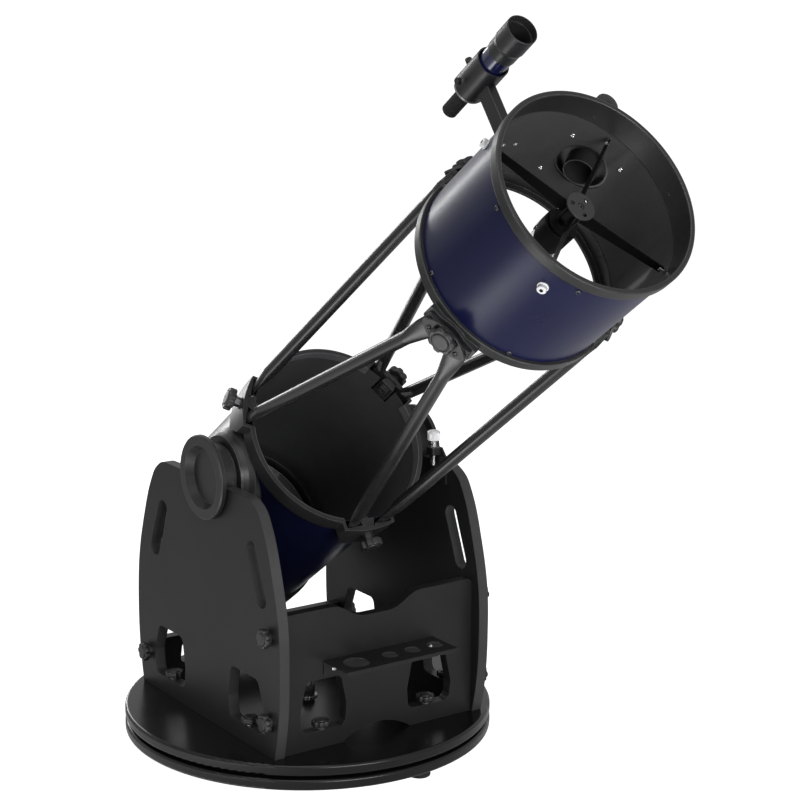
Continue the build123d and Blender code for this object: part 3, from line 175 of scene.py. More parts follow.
def finish(name, colour, rough, metallic=0.0, coat=0.0, coat_rough=0.1, specular=0.5,
           grain=0.0, grain_scale=900.0, spread=0.06, patch_scale=9.0, tone=0.25,
           edge=0.0012, edge_highlight_colour=None, edge_highlight_share=0.0, inner=None):
    """A procedural surface: mottled colour, uneven gloss, fine grain, softened edges with a painted
    highlight.

    spread is the change of roughness and tone the change of colour over the patches;
    edge is the radius of the softened edges in metres; the edge share and edge colour set how
    strong and how light the painted highlight along them is;
    inner = (test, colour, rough) gives part of the piece a second finish.
    """
    mat, tree, shader = tree_of(name)
    place = node(tree, "ShaderNodeTexCoord").outputs["Object"]
    patches = node(tree, "ShaderNodeTexNoise", {
        "Vector": place, "Scale": patch_scale, "Detail": 5.0, "Roughness": 0.6}).outputs["Fac"]
    fine = node(tree, "ShaderNodeTexNoise", {
        "Vector": place, "Scale": grain_scale, "Detail": 3.0, "Roughness": 0.55}).outputs["Fac"]
    tint = ramp(tree, patches, 0.3, 0.7, 1.0 - tone, 1.0 + tone)
    flecks = ramp(tree, fine, 0.35, 0.65, 0.9, 1.1)
    level = math_node(tree, "MULTIPLY", tint, flecks)
    grey = node(tree, "ShaderNodeCombineColor", {0: level, 1: level, 2: level}).outputs[0]
    base = times_grey(tree, colour, grey)
    gloss = ramp(tree, patches, 0.3, 0.7, rough - spread, rough + spread)
    if inner:
        test, second, second_rough = inner
        share = test(tree, place)
        base = mix_colour(tree, share, base, times_grey(tree, second, grey))
        gloss = node(tree, "ShaderNodeMix", {0: share, 2: gloss, 3: second_rough},
                     data_type="FLOAT").outputs[0]
    normal = None
    if edge:
        soft = node(tree, "ShaderNodeBevel", {"Radius": edge}, samples=4).outputs[0]
        normal = soft
        # Painted highlight: at the edges, where the softened normal turns from the true one, the
        # colour is mixed in patches towards a lighter grey.
        if edge_highlight_share:
            sharp = node(tree, "ShaderNodeNewGeometry").outputs["Normal"]
            facing = node(tree, "ShaderNodeVectorMath", {0: soft, 1: sharp},
                          operation="DOT_PRODUCT").outputs["Value"]
            rim = ramp(tree, facing, 0.99, 0.8, 0.0, edge_highlight_share)
            uneven = ramp(tree, patches, 0.35, 0.65, 0.35, 1.0)
            edge_highlight_mask = math_node(tree, "MULTIPLY", rim, uneven, True)
            base = mix_colour(tree, edge_highlight_mask, base, colour4(edge_highlight_colour or colour))
    if grain:
        bump = node(tree, "ShaderNodeBump", {"Strength": grain, "Distance": 0.0004, "Height": fine})
        if normal:
            tree.links.new(normal, bump.inputs["Normal"])
        normal = bump.outputs[0]
    tree.links.new(base, shader.inputs["Base Color"])
    tree.links.new(gloss, shader.inputs["Roughness"])
    if normal:
        tree.links.new(normal, shader.inputs["Normal"])
    shader.inputs["Metallic"].default_value = metallic
    shader.inputs["Specular IOR Level"].default_value = specular
    shader.inputs["Coat Weight"].default_value = coat
    shader.inputs["Coat Roughness"].default_value = coat_rough
    return mat


# Light grey painted along edges as a highlight.
EDGE_HIGHLIGHT_GREY = (0.28, 0.28, 0.285)
BOARD_BLACK = (0.013, 0.013, 0.0135)
# Lighter grey painted on the side panels' banded edges as a highlight.
PANEL_EDGE_HIGHLIGHT = (0.045, 0.045, 0.047)


def inside_tube(tree, place):
    """Share of the lining, inside the tube's wall."""
    return step(tree, tube_radius_value(tree, place), LINING_RADIUS, 1.0, 0.0)


def uncoated_primary(tree, place):
    """Share of bare glass: the primary mirror's side and back."""
    side = step(tree, tube_radius_value(tree, place), GLASS_RADIUS, 0.0, 1.0)
    ahead = plane_value(tree, place, on_tube(0, 0, GLASS_FACE), ALONG)
    return math_node(tree, "MAXIMUM", side, step(tree, ahead, 0.0001, 1.0, 0.0))


def edge_band(centre):
    """Share of the banded edges of a side panel, which lie between its two faces and carry a
    painted highlight.
    """
    def test(tree, place):
        off = plane_value(tree, place, (centre * MM, 0, 0), (1, 0, 0))
        return ramp(tree, math_node(tree, "ABSOLUTE", off), 0.0098, 0.0106, 1.0, 0.0)
    return test


def board_finish(name, inner=None):
    """Black laminate of the rocker box, with a painted highlight along its edges."""
    return finish(name, BOARD_BLACK, 0.42, specular=0.24, grain=0.05, grain_scale=2600,
                  spread=0.03, tone=0.12, edge=0.0016, edge_highlight_share=0.5,
                  edge_highlight_colour=(0.10, 0.10, 0.103), inner=inner)


def mouth_skirt(tree, place):
    """Share of the bright skirt inside the lower truss ring."""
    return step(tree, tube_radius_value(tree, place), SKIRT_RADIUS, 1.0, 0.0)


def finder_rear(tree, place):
    """Share of the finder tube's bright rear plate."""
    ahead = plane_value(tree, place, on_tube(0, 0, FINDER_REAR), ALONG)
    return step(tree, ahead, -0.0001, 1.0, 0.0)


board = board_finish("black_laminate")
board_left, board_right = (
    board_finish("black_laminate_" + side, (edge_band(centre), PANEL_EDGE_HIGHLIGHT, 0.42))
    for side, centre in zip(("left", "right"), PANEL_CENTRES))
board_round = finish("black_edge_band", (0.006, 0.006, 0.0065), 0.24, specular=0.30, grain=0.04,
                     grain_scale=2600, spread=0.03, tone=0.12, edge=0.001)


def powder_coat(name, edge_highlight_share, inner=None):
    """Satin black paint of the castings, with a painted highlight along the edges."""
    return finish(name, (0.020, 0.020, 0.021), 0.34, specular=0.32, grain=0.10,
                  grain_scale=1500, spread=0.05, tone=0.15, edge=0.0014,
                  edge_highlight_share=edge_highlight_share, edge_highlight_colour=EDGE_HIGHLIGHT_GREY, inner=inner)


casting = powder_coat("black_powder_coat", 0.8)
casting_ring = powder_coat("black_powder_coat_ring", 0.6, (mouth_skirt, (0.10, 0.10, 0.105), 0.4))
# Poles, black steel, flat black optics and anodising also carry a painted highlight along their
# edges.
pole_paint = finish("black_pole_paint", (0.018, 0.018, 0.019), 0.24, specular=0.5, grain=0.05,
                    grain_scale=1600, spread=0.04, tone=0.15, edge=0.0012, edge_highlight_share=0.3,
                    edge_highlight_colour=EDGE_HIGHLIGHT_GREY)
steel_black = finish("black_steel", (0.010, 0.010, 0.011), 0.40, specular=0.30, grain=0.06,
                     grain_scale=1800, spread=0.05, edge=0.0005, edge_highlight_share=0.4, edge_highlight_colour=EDGE_HIGHLIGHT_GREY)
vane_black = finish("flat_black_optics", (0.0035, 0.0035, 0.0038), 0.5, specular=0.14, grain=0.06,
                    grain_scale=1800, spread=0.05, edge=0.0004, edge_highlight_share=0.3, edge_highlight_colour=EDGE_HIGHLIGHT_GREY)
anodised = finish("black_anodised", (0.024, 0.024, 0.0255), 0.34, specular=0.38, grain=0.05,
                  grain_scale=2400, spread=0.05, tone=0.1, edge=0.0008, edge_highlight_share=0.5,
                  edge_highlight_colour=(0.12, 0.12, 0.125))


def blue_gloss(name, colour, lining):
    """The tube's gloss paint outside and its matt lining inside."""
    return finish(name, colour, 0.30, coat=0.05, coat_rough=0.12, specular=0.17, grain=0.02,
                  grain_scale=500, spread=0.03, tone=0.10, edge=0.0006,
                  inner=(inside_tube, lining, 0.95))


tube_paint = blue_gloss("dark_blue_gloss_paint", (0.0065, 0.0082, 0.042),
                        (0.056, 0.056, 0.057))
# Painted shade: a darker copy of the tube's blue paint and lining, for the lower tube, which
# carries the same paint.
shade_darkened_tube_paint = blue_gloss("blue_gloss_paint_with_painted_shade", (0.0052, 0.0063, 0.026),
                              (0.046, 0.046, 0.047))
finder_paint = finish("finder_blue_gloss", (0.008, 0.010, 0.055), 0.22, coat=0.7, coat_rough=0.06,
                      specular=0.4, spread=0.02, tone=0.06, edge=0.0005,
                      inner=(finder_rear, (0.30, 0.30, 0.31), 0.3))
plastic = finish("black_knob_plastic", (0.014, 0.014, 0.0145), 0.40, specular=0.45, grain=0.16,
                 grain_scale=1900, spread=0.06, tone=0.15, edge=0.0006)
rubber = finish("black_rubber", (0.014, 0.014, 0.0145), 0.72, specular=0.35, grain=0.22,
                grain_scale=1400, spread=0.06, tone=0.2, edge=0.0008)
# The fitting plates' light edges are a strong painted highlight.
plate_paint = finish("fitting_plate_paint", (0.014, 0.014, 0.015), 0.40, specular=0.35, grain=0.14,
                     grain_scale=1300, spread=0.05, tone=0.15, edge=0.0018, edge_highlight_share=1.0,
                     edge_highlight_colour=(0.32, 0.32, 0.33))
cap_plating = finish("nut_cap_plating", (0.82, 0.82, 0.83), 0.34, metallic=0.55, grain=0.02,
                     grain_scale=1600, spread=0.03, tone=0.03, edge=0.0004)
chrome = finish("bright_plating", (0.72, 0.72, 0.73), 0.16, metallic=1.0, grain=0.03,
                grain_scale=1600, spread=0.05, tone=0.05, edge=0.0004)
zinc = finish("zinc_plated_steel", (0.46, 0.46, 0.47), 0.30, metallic=1.0, grain=0.06,
              grain_scale=1400, spread=0.08, tone=0.10, edge=0.0004)
screw_black = finish("black_oxide_screws", (0.06, 0.06, 0.065), 0.30, metallic=0.7, grain=0.05,
                     grain_scale=1600, spread=0.06, tone=0.1, edge=0.0004)
pad_white = finish("white_slip_pad", (0.72, 0.72, 0.69), 0.5, grain=0.06, grain_scale=900,
                   spread=0.05, tone=0.04, edge=0.0005)
mirror = finish("mirror_coating", (0.93, 0.94, 0.95), 0.02, metallic=1.0, spread=0.008, tone=0.01,
                patch_scale=4.0, edge=0.0,
                inner=(uncoated_primary, (0.30, 0.35, 0.33), 0.5))
flat_mirror = finish("diagonal_coating", (0.93, 0.94, 0.95), 0.02, metallic=1.0, spread=0.008,
                     tone=0.01, patch_scale=4.0, edge=0.0004)


def lens_glass():
    """Clear glass with a thin uneven coating and a little dust."""
    mat, tree, shader = tree_of("coated_lens_glass")
    place = node(tree, "ShaderNodeTexCoord").outputs["Object"]
    dust = node(tree, "ShaderNodeTexNoise", {"Vector": place, "Scale": 700.0, "Detail": 4.0})
    tree.links.new(ramp(tree, dust.outputs["Fac"], 0.5, 0.8, 0.01, 0.09),
                   shader.inputs["Roughness"])
    film = node(tree, "ShaderNodeTexNoise", {"Vector": place, "Scale": 30.0}).outputs["Fac"]
    tree.links.new(mix_colour(tree, film, (0.55, 0.75, 0.70, 1), (0.70, 0.62, 0.85, 1)),
                   shader.inputs["Base Color"])
    shader.inputs["Transmission Weight"].default_value = 1.0
    shader.inputs["IOR"].default_value = 1.5
    return mat


glass = lens_glass()

FINISHES = {
    "ground_board": board_round, "rotating_board": board_round,
    "left_side_panel": board_left, "right_side_panel": board_right,
    "front_panel": board, "rear_panel": board,
    "feet": rubber, "azimuth_pads": pad_white, "bearing_pads": pad_white,
    "azimuth_bolt": zinc, "azimuth_nut": plastic, "panel_knobs": plastic, "base_knobs": plastic,
    "panel_screws": chrome, "tube_screws": screw_black, "spider_nuts": chrome,
    "focuser_screws": chrome, "secondary_screws": screw_black, "tension_screw": chrome,
    "clamp_knob_left": plastic, "clamp_knob_right": plastic, "clamp_knob_bottom": plastic,
    "fitting_knob_top": plastic, "fitting_knob_left": plastic, "fitting_knob_right": plastic,
    "collimation_knobs": plastic, "finder_eyepiece": rubber, "finder_screws": plastic,
    "eyepiece_rack": steel_black, "tension_bracket": steel_black, "spider_vanes": vane_black,
    "lower_tube": shade_darkened_tube_paint, "upper_tube": tube_paint, "finder_tube": finder_paint,
    "lower_truss_ring": casting_ring, "upper_truss_ring": casting, "front_ring": casting,
    "bottom_ring": casting, "left_altitude_bearing": casting, "right_altitude_bearing": casting,
    "mirror_cell": casting, "clamp_wedges": casting, "fitting_plates": plate_paint,
    "spider_hub": anodised, "secondary_holder": vane_black, "focuser_body": anodised,
    "focuser_drawtube": anodised, "focus_knobs": anodised, "finder_shoe": anodised,
    "finder_bracket": anodised, "finder_dew_shield": anodised,
    "primary_mirror": mirror, "secondary_mirror": flat_mirror, "finder_lens": glass,
}
for name, obj in nodes.items():
    paint = pole_paint if name.startswith("truss_pole_") else FINISHES[name]
    obj.data.materials.clear()
    obj.data.materials.append(paint)


# ------------------------------------------------------------------ turned and lobed pieces
def new_piece(name, mesh, paint, body, sharp=38):
    """A Blender object from a bmesh, shaded smooth with its sharp edges kept."""
    bmesh.ops.recalc_face_normals(mesh, faces=mesh.faces)
    data = bpy.data.meshes.new(name)
    mesh.to_mesh(data)
    mesh.free()
    data.polygons.foreach_set("use_smooth", [True] * len(data.polygons))
    data.set_sharp_from_angle(angle=math.radians(sharp))
    data.materials.append(paint)
    obj = bpy.data.objects.new(name, data)
    bpy.context.scene.collection.objects.link(obj)
    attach(obj, body)
    return obj


def add_ring(mesh, place, height, radius, segments, centre=(0.0, 0.0)):
    """Vertices of one outline, in mm; radius is a number or a function of the angle."""
    loop = []
    for i in range(segments):
        turn = 2 * math.pi * i / segments
        r = radius(turn) if callable(radius) else radius
        loop.append(mesh.verts.new(place @ Vector((
            (centre[0] + r * math.cos(turn)) * MM,
            (centre[1] + r * math.sin(turn)) * MM, height * MM))))
    return loop


def join_rings(mesh, loops):
    """Walls between each ring and the next."""
    for low, high in zip(loops, loops[1:]):
        for i in range(len(low)):
            j = (i + 1) % len(low)
            mesh.faces.new((low[i], low[j], high[j], high[i]))


def loft(mesh, place, rings, segments=72):
    """Adds a closed form to `mesh` through rings of (height, radius) in mm."""
    loops = [add_ring(mesh, place, height, radius, segments) for height, radius in rings]
    join_rings(mesh, loops)
    for loop, height in ((loops[0], rings[0][0]), (loops[-1], rings[-1][0])):
        middle = mesh.verts.new(place @ Vector((0, 0, height * MM)))
        for i in range(segments):
            mesh.faces.new((loop[i], loop[(i + 1) % segments], middle))


def lobed(radius, inset=0.0, lobes=7, bite=0.30, centre=1.17):
    """Outline of a hand grip: a circle with soft scallops, drawn in by `inset`.

    bite and centre are the radius of each scallop and how far out it is, as shares of radius.
    """
    softness = 30.0

    def at(turn):
        step = 2 * math.pi / lobes
        local = (turn + step / 2) % step - step / 2
        reach = bite * bite - (centre * math.sin(local)) ** 2
        if reach <= 0:
            return radius - inset
        cut = centre * math.cos(local) - math.sqrt(reach)
        blend = math.exp(-softness) + math.exp(-softness * cut)
        return -radius * math.log(blend) / softness - inset
    return at


def fluted(radius, depth, count):
    """Outline of a knurled or ribbed rim."""
    def at(turn):
        return radius - depth * (0.5 + 0.5 * math.cos(count * turn)) ** 1.5
    return at


def hexagon(across):
    """Outline of a hexagon by the distance across its flats."""
    def at(turn):
        return across / 2 / math.cos((turn + math.pi / 6) % (math.pi / 3) - math.pi / 6)
    return at


def grip(mesh, place, radius, thickness, start):
    """Lobed grip with rounded edges, a ring groove and a low cap."""
    top = start + thickness
    cap = top + 1.6
    rings = [
        (start, lobed(radius, 3.0)), (start, lobed(radius, 1.5)),
        (start + 0.35, lobed(radius, 0.7)), (start + 1.0, lobed(radius, 0.2)),
        (start + 1.9, lobed(radius)), (top - 2.6, lobed(radius)),
        (top - 1.4, lobed(radius, 0.35)), (top - 0.5, lobed(radius, 1.1)),
        (top, lobed(radius, 2.3)), (top, radius * 0.70), (top - 0.15, radius * 0.685),
        (top - 0.9, radius * 0.675), (top - 0.9, radius * 0.64),
        (cap - 0.6, radius * 0.62), (cap - 0.15, radius * 0.595),
        (cap, radius * 0.55), (cap, radius * 0.3),
    ]
    loft(mesh, place, rings, 126)


def hand_knob(name, body, cad_node, places, radius, thickness, collar, stud, collar_hex=0.0,
              metal_paint=None):
    """Grips (plastic), collars and studs (metal) of one kind of knob.

    collar is the collar's height and collar_hex its width across flats, 0 for a round one.
    """
    mesh = bmesh.new()
    for place in places:
        grip(mesh, place, radius, thickness, collar)
    grips = new_piece(name + "_grips", mesh, plastic, body)
    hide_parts(cad_node)
    outline = hexagon(collar_hex) if collar_hex else radius * 0.5
    inner = (collar_hex or radius) / 2 - 0.6
    collar_rings = [(0.0, outline), (collar + 0.8, outline)]
    if collar > 2:
        collar_rings = [(0.0, radius * 0.52), (1.4, radius * 0.52), (1.6, radius * 0.49),
                        (1.61, inner), (1.9, outline), (collar - 0.4, outline),
                        (collar + 0.8, outline)]
    metal = bmesh.new()
    for place in places:
        loft(metal, place, collar_rings, 72)
        loft(metal, place, [(-stud, 2.8), (-stud + 1.0, 3.9), (0.05, 3.9)], 32)
    new_piece(name + "_studs", metal, metal_paint or zinc, body, 30)


def many(name, body, paint, places, build, replaced=(), sharp=38):
    """One object holding a closed form at each place."""
    mesh = bmesh.new()
    for place in places:
        build(mesh, place)
    obj = new_piece(name, mesh, paint, body, sharp)
    if replaced:
        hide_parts(*replaced)


def button_head(radius, height, socket):
    """Domed screw head with a hex socket, standing on z = 0."""
    def build(mesh, place):
        loft(mesh, place, [
            (-2.0, radius * 0.5), (0.0, radius * 0.5), (0.0, radius), (height * 0.16, radius),
            (height * 0.45, radius * 0.94), (height * 0.75, radius * 0.80),
            (height * 0.93, radius * 0.62), (height, radius * 0.52),
            (height, socket * 0.62), (height * 0.98, hexagon(socket)),
            (height * 0.35, hexagon(socket * 0.97)), (height * 0.3, 0.3)], 48)
    return build


# Hand knobs of the box.
PANEL_KNOBS = ((-237, 303), (-237, 137), (237, 139))        # y, z on each side panel
BASE_KNOBS = [(x, y) for x in PANEL_CENTRES for y in (-150, 152)]
BASE_KNOBS += [(x, y) for y in (-237, 237) for x in (-121, 121)]
BASE_KNOB_SEAT = 103.2
hand_knob(
    "panel_knob", "rocker", "panel_knobs",
    [seat(Vector((x, y, z)) * MM, (x, 0, 0), (0, x, 0))
     for x in PANEL_FACES for y, z in PANEL_KNOBS],
    radius=19, thickness=12, collar=5, stud=26)
hand_knob(
    "base_knob", "rocker", "base_knobs",
    [seat(Vector((x, y, BASE_KNOB_SEAT)) * MM, (0, 0, 1), (1, 0.2, 0)) for x, y in BASE_KNOBS],
    radius=18, thickness=12, collar=4, stud=35)

# Clamp knobs on the lower tube, fitting knobs under the cage and collimation knobs at the rear.
CLAMP_SEAT = 199.3
FITTING_SEAT = 203.6
COLLIMATION_STATION = -360.2
COLLIMATION_CIRCLE = 60
for side, angle in CLAMP_ANGLES.items():
    body = "clamp_knob_" + side
    place = seat(on_tube(angle, CLAMP_SEAT, CLAMP_STATION), outward(angle), around(angle))
    hand_knob(body, body, body, [place], radius=22, thickness=14, collar=15, stud=28,
              collar_hex=17, metal_paint=screw_black)
for side, angle in FITTING_ANGLES.items():
    body = "fitting_knob_" + side
    place = seat(on_tube(angle, FITTING_SEAT, FITTING_STATION), outward(angle), around(angle))
    hand_knob(body, body, body, [place], radius=25, thickness=11, collar=1, stud=23)
hand_knob(
    "collimation_knob", "tube", "collimation_knobs",
    [seat(on_tube(angle, COLLIMATION_CIRCLE, COLLIMATION_STATION), -ALONG, around(angle))
     for angle in CLAMP_ANGLES.values()],
    radius=13, thickness=11, collar=5, stud=9)


# Nut and washer on the azimuth bolt.
def azimuth_nut(mesh, place):
    loft(mesh, place, [(3.2, 9.0), (3.2, fluted(12.6, 0.9, 18)), (4.2, fluted(13.5, 1.2, 18)),
                       (21.6, fluted(13.5, 1.2, 18)), (23.0, fluted(12.2, 0.8, 18)),
                       (23.2, 10.6), (22.4, 10.2), (22.4, 8.2)], 144)


def washer(inner, outer, low, high):
    def build(mesh, place):
        loft(mesh, place, [(low, inner), (low, outer - 0.3), (low + 0.3, outer),
                           (high - 0.3, outer), (high, outer - 0.3), (high, inner)], 64)
    return build


DECK_TOP = 0.068            # upper face of the rotating board
deck = seat(Vector((0, 0, DECK_TOP)), (0, 0, 1), (1, 0, 0))
many("azimuth_nut_grip", "ground", plastic, [deck], azimuth_nut, ["azimuth_nut"])
many("azimuth_washer", "ground", zinc, [deck], washer(8.2, 19, 0.2, 3.1))


# Knurled head and threaded shank of the altitude tension screw.
def tension_head(mesh, place):
    rim = fluted(13, 0.6, 44)
    loft(mesh, place, [(0, 6), (0, 11.4), (1.2, rim), (16.2, rim), (18.2, 11.2), (19, 10.0),
                       (19, 8.4), (18.4, 8.0), (18.4, 2)], 264)


def threaded(length, radius, pitch):
    def build(mesh, place):
        rings = [(-length, radius * 0.8)]
        turns = int(length / pitch)
        for i in range(turns):
            rings += [(-length + (i + 0.3) * pitch, radius),
                      (-length + (i + 0.8) * pitch, radius * 0.87)]
        rings += [(0.1, radius * 0.9)]
        loft(mesh, place, rings, 40)
    return build


tension_place = seat(TENSION_SCREW, (0, 0, 1), (1, 0, 0))
many("tension_knurled_head", "tension_screw", cap_plating, [tension_place], tension_head,
     ["tension_screw"], 30)
many("tension_thread", "tension_screw", chrome, [tension_place],
     threaded(50, 5, 1.5), sharp=60)


# Ends of the two screws that hold the finder's shoe, seen inside the cage.
def screw_tip(mesh, place):
    loft(mesh, place, [(-1.5, 1.5), (0, 2.4), (2.2, 2.4), (3.2, 1.6)], 28)
    loft(mesh, place, [(0.0, 2.0), (0.0, 4.4), (1.6, 4.4), (1.6, 2.0)], 48)


shoe_tips = [seat(on_tube(FINDER_ANGLE, TUBE_INSIDE, SHOE_STATION, shift),
                  -outward(FINDER_ANGLE), ALONG) for shift in (-13, 13)]
many("shoe_screw_tips", "tube", zinc, shoe_tips, screw_tip)

# Screws: cage rings, fitting plates, focuser base, rack and bracket.
RING_STATIONS = (802, 1010)
PLATE_STATION = 760
PLATE_FACE = 203.4
ring_places = [seat(on_tube(angle, TUBE_OUTSIDE, length), outward(angle), ALONG)
               for length in RING_STATIONS for angle in range(0, 360, 60)]
plate_places = [seat(on_tube(angle, PLATE_FACE, PLATE_STATION, shift), outward(angle), ALONG)
                for angle in FITTING_ANGLES.values() for shift in (-30, 30)]
many("ring_screw_heads", "tube", screw_black, ring_places + plate_places,
     button_head(4.6, 3.2, 3.2), ["tube_screws"], 30)
FOCUSER_SCREW_TURN = 16.3
FOCUSER_SCREW_REACH = 51
focuser_places = [
    seat(on_tube(angle, TUBE_INSIDE, station), -outward(angle), ALONG)
    for angle in (FOCUSER_ANGLE - FOCUSER_SCREW_TURN, FOCUSER_ANGLE + FOCUSER_SCREW_TURN)
    for station in (FOCUSER_STATION - FOCUSER_SCREW_REACH, FOCUSER_STATION + FOCUSER_SCREW_REACH)]
many("focuser_screw_heads", "tube", chrome, focuser_places, button_head(4.6, 2.6, 3.2),
     ["focuser_screws"], 30)
panel_places = [seat(Vector((x, -250.4, 221)) * MM, (0, -1, 0), (1, 0, 0)) for x in (-100, 122)]
panel_places += [seat(Vector((218.3, -118, z)) * MM, (-1, 0, 0), (0, 1, 0)) for z in (530, 552)]
many("panel_screw_heads", "rocker", chrome, panel_places, button_head(5.2, 3.0, 3.4),
     ["panel_screws"], 30)


# Knurled nuts that tension the spider vanes.
def spider_nut(mesh, place):
    loft(mesh, place, [(0.3, 3.1), (0.3, 9.1), (0.6, 9.5), (2.0, 9.5), (2.3, 9.1),
                       (2.3, fluted(7.4, 0.3, 28)), (3.0, fluted(8, 0.45, 28)),
                       (9.4, fluted(8, 0.45, 28)), (10.3, 7.2), (10.3, 2.0)], 168)


NUT_SEAT = 178
many("spider_nut_heads", "tube", cap_plating,
     [seat(on_tube(angle, NUT_SEAT, SPIDER_STATION), outward(angle), ALONG)
      for angle in SPIDER_ANGLES], spider_nut, ["spider_nuts"], 30)


# Hub of the spider: a round plate with three holes, on a stub that carries the vanes.
def drilled_plate(mesh, place, low, high, outer, holes):
    """A round plate from low to high; holes are (x, y, radius) in mm."""
    outlines = [((0.0, 0.0), outer - 0.5, outer, 96)]
    outlines += [((x, y), radius, radius, 36) for x, y, radius in holes]
    rims = {low: [], high: []}
    for centre, rim, wall, segments in outlines:
        loops = [add_ring(mesh, place, height, radius, segments, centre)
                 for height, radius in ((low, wall), (high - 0.5, wall), (high, rim))]
        join_rings(mesh, loops)
        for height, loop in ((low, loops[0]), (high, loops[-1])):
            for i in range(segments):
                rims[height].append(mesh.edges.get((loop[i], loop[(i + 1) % segments])))
    for edges in rims.values():
        bmesh.ops.triangle_fill(mesh, edges=edges, use_beauty=True, use_dissolve=False)


HUB_CIRCLE = 15.6
HUB_HOLES = [(HUB_CIRCLE * math.cos(turn), HUB_CIRCLE * math.sin(turn))
             for turn in map(math.radians, (30, 150, 270))]


def spider_hub(mesh, place):
    holes = [(x, y, 4.1) for x, y in HUB_HOLES] + [(0, 0, 6.2)]
    drilled_plate(mesh, place, 990, 993, 25.6, holes)
    loft(mesh, place, [(954, 5), (954, 13.4), (954.6, 14), (990.2, 14), (990.2, 6.4),
                       (985, 6.4), (985, 5)], 72)


def hub_screws(mesh, place):
    """Three push screws behind the plate's holes and the bolt in the middle."""
    for x, y in HUB_HOLES:
        push = place @ Matrix.Translation((x * MM, y * MM, 0))
        loft(mesh, push, [(942, 1.0), (942, 2.2), (980, 2.2), (980, 3.4), (983.6, 3.4), (984, 3.0),
                          (984, hexagon(3.2)), (982.5, hexagon(3.2)), (982.5, 0.3)], 36)
    loft(mesh, place, [(941, 2.0), (941, 4.0), (986, 4.0), (986, 5.4), (991.4, 5.4), (992.2, 4.8),
                       (992.2, hexagon(5.0)), (989.4, hexagon(5.0)), (989.4, 0.3)], 48)


hub_seat = seat(PIVOT, ALONG, ACROSS)
many("spider_hub_plate", "tube", anodised, [hub_seat], spider_hub, ["spider_hub"])
many("secondary_adjusting_screws", "tube", screw_black, [hub_seat], hub_screws,
     ["secondary_screws"], 30)


# Bright ends of the vanes, just inside the tube's wall.
def vane_ferrule(mesh, place):
    loft(mesh, place, [(163.5, 2.0), (163.5, 3.2), (164.0, 3.7), (175.6, 3.7), (176.1, 3.2)], 40)


many("vane_ferrules", "tube", chrome,
     [seat(on_tube(angle, 0, SPIDER_STATION), outward(angle), ALONG) for angle in SPIDER_ANGLES],
     vane_ferrule)


# Focusing shaft and its two knurled wheels; heights are stations along the tube.
def wheel(start):
    rim = fluted(21, 0.7, 60)

    def build(mesh, place):
        loft(mesh, place, [
            (start, 3.0), (start, 17.0), (start + 0.3, 18.4), (start + 1.0, 19.8),
            (start + 1.8, 20.3), (start + 1.9, rim), (start + 30.1, rim), (start + 30.2, 20.3),
            (start + 31.0, 19.8), (start + 31.7, 18.4), (start + 32.0, 17.0), (start + 32.0, 5.2),
            (start + 30.6, 5.0), (start + 30.6, 1.0)], 240)
    return build


def focus_wheels(mesh, place):
    for start in (796, 966):
        wheel(start)(mesh, place)


SHAFT_RADIUS = 226          # from the tube's axis to the shaft's
SHAFT_SHIFT = 31
shaft = seat(on_tube(FOCUSER_ANGLE, SHAFT_RADIUS, 0, SHAFT_SHIFT), ALONG, ACROSS)
many("focus_wheels", "focus_knobs", anodised, [shaft], focus_wheels,
     ["focus_knobs"], 30)


def focus_shaft(mesh, place):
    loft(mesh, place, [(826, 3), (967, 3)], 32)
    loft(mesh, place, [(946, 3), (946, 11.5), (946.5, 12), (965.5, 12), (966.1, 11.5),
                       (966.1, 3)], 48)


many("focus_shaft", "focus_knobs", zinc, [shaft], focus_shaft)


# Finder: ribbed eyepiece, two adjusting screws and the shoe's clamp screw.
finder_axis = on_tube(FINDER_ANGLE, FINDER_HEIGHT, 0)
finder = seat(finder_axis, ALONG, ACROSS)


def finder_eyepiece(mesh, place):
    ribs = fluted(14.2, 1.1, 18)
    loft(mesh, place, [
        (788.5, 1.0), (788.5, 8.4), (784.3, 8.8), (784, 9.4), (784, 12.0), (784.7, 13.2),
        (785.8, 14.1), (787.5, ribs), (832.5, ribs), (834.0, 14.1), (843.6, 14.0), (844, 14.2),
        (844, 15.6), (844.8, 16.4), (849.0, 16.4), (849.8, 15.6), (850, 12.1), (860, 12.1)], 180)


many("finder_eyepiece_rubber", "finder_eyepiece", rubber, [finder], finder_eyepiece,
     ["finder_eyepiece"])


def thumb_screw(mesh, place):
    rim = fluted(6, 0.45, 26)
    loft(mesh, place, [(34.5, 2.5), (34.5, 5.0), (35.1, rim), (42.7, rim), (43.5, 5.0),
                       (43.5, 1)], 156)


def thumb_shank(mesh, place):
    loft(mesh, place, [(25.1, 2.0), (25.6, 2.45), (34.7, 2.45)], 28)
    loft(mesh, place, [(30.2, 2.4), (30.2, 4.2), (32.4, 4.2), (32.4, 2.4)], 48)


finder_sides = [seat(finder_axis + ALONG * FINDER_SCREWS * MM, outward(angle), ALONG)
                for angle in (90, 180)]
many("finder_thumb_screws", "tube", plastic, finder_sides, thumb_screw,
     ["finder_screws"], 30)
many("finder_screw_shanks", "tube", chrome, finder_sides, thumb_shank)


def shoe_clamp(mesh, place):
    rim = fluted(7, 0.5, 28)
    loft(mesh, place, [(0.2, 2.4), (12, 2.4), (12, 6.0), (12.8, rim), (20.6, rim), (22, 5.4),
                       (22, 1)], 168)


SHOE_CLAMP = (192.5, 871, 11.1)     # distance from the axis, station and shift
shoe_place = seat(on_tube(FINDER_ANGLE, *SHOE_CLAMP), around(FINDER_ANGLE), ALONG)
many("finder_shoe_clamp", "tube", chrome, [shoe_place], shoe_clamp, sharp=30)

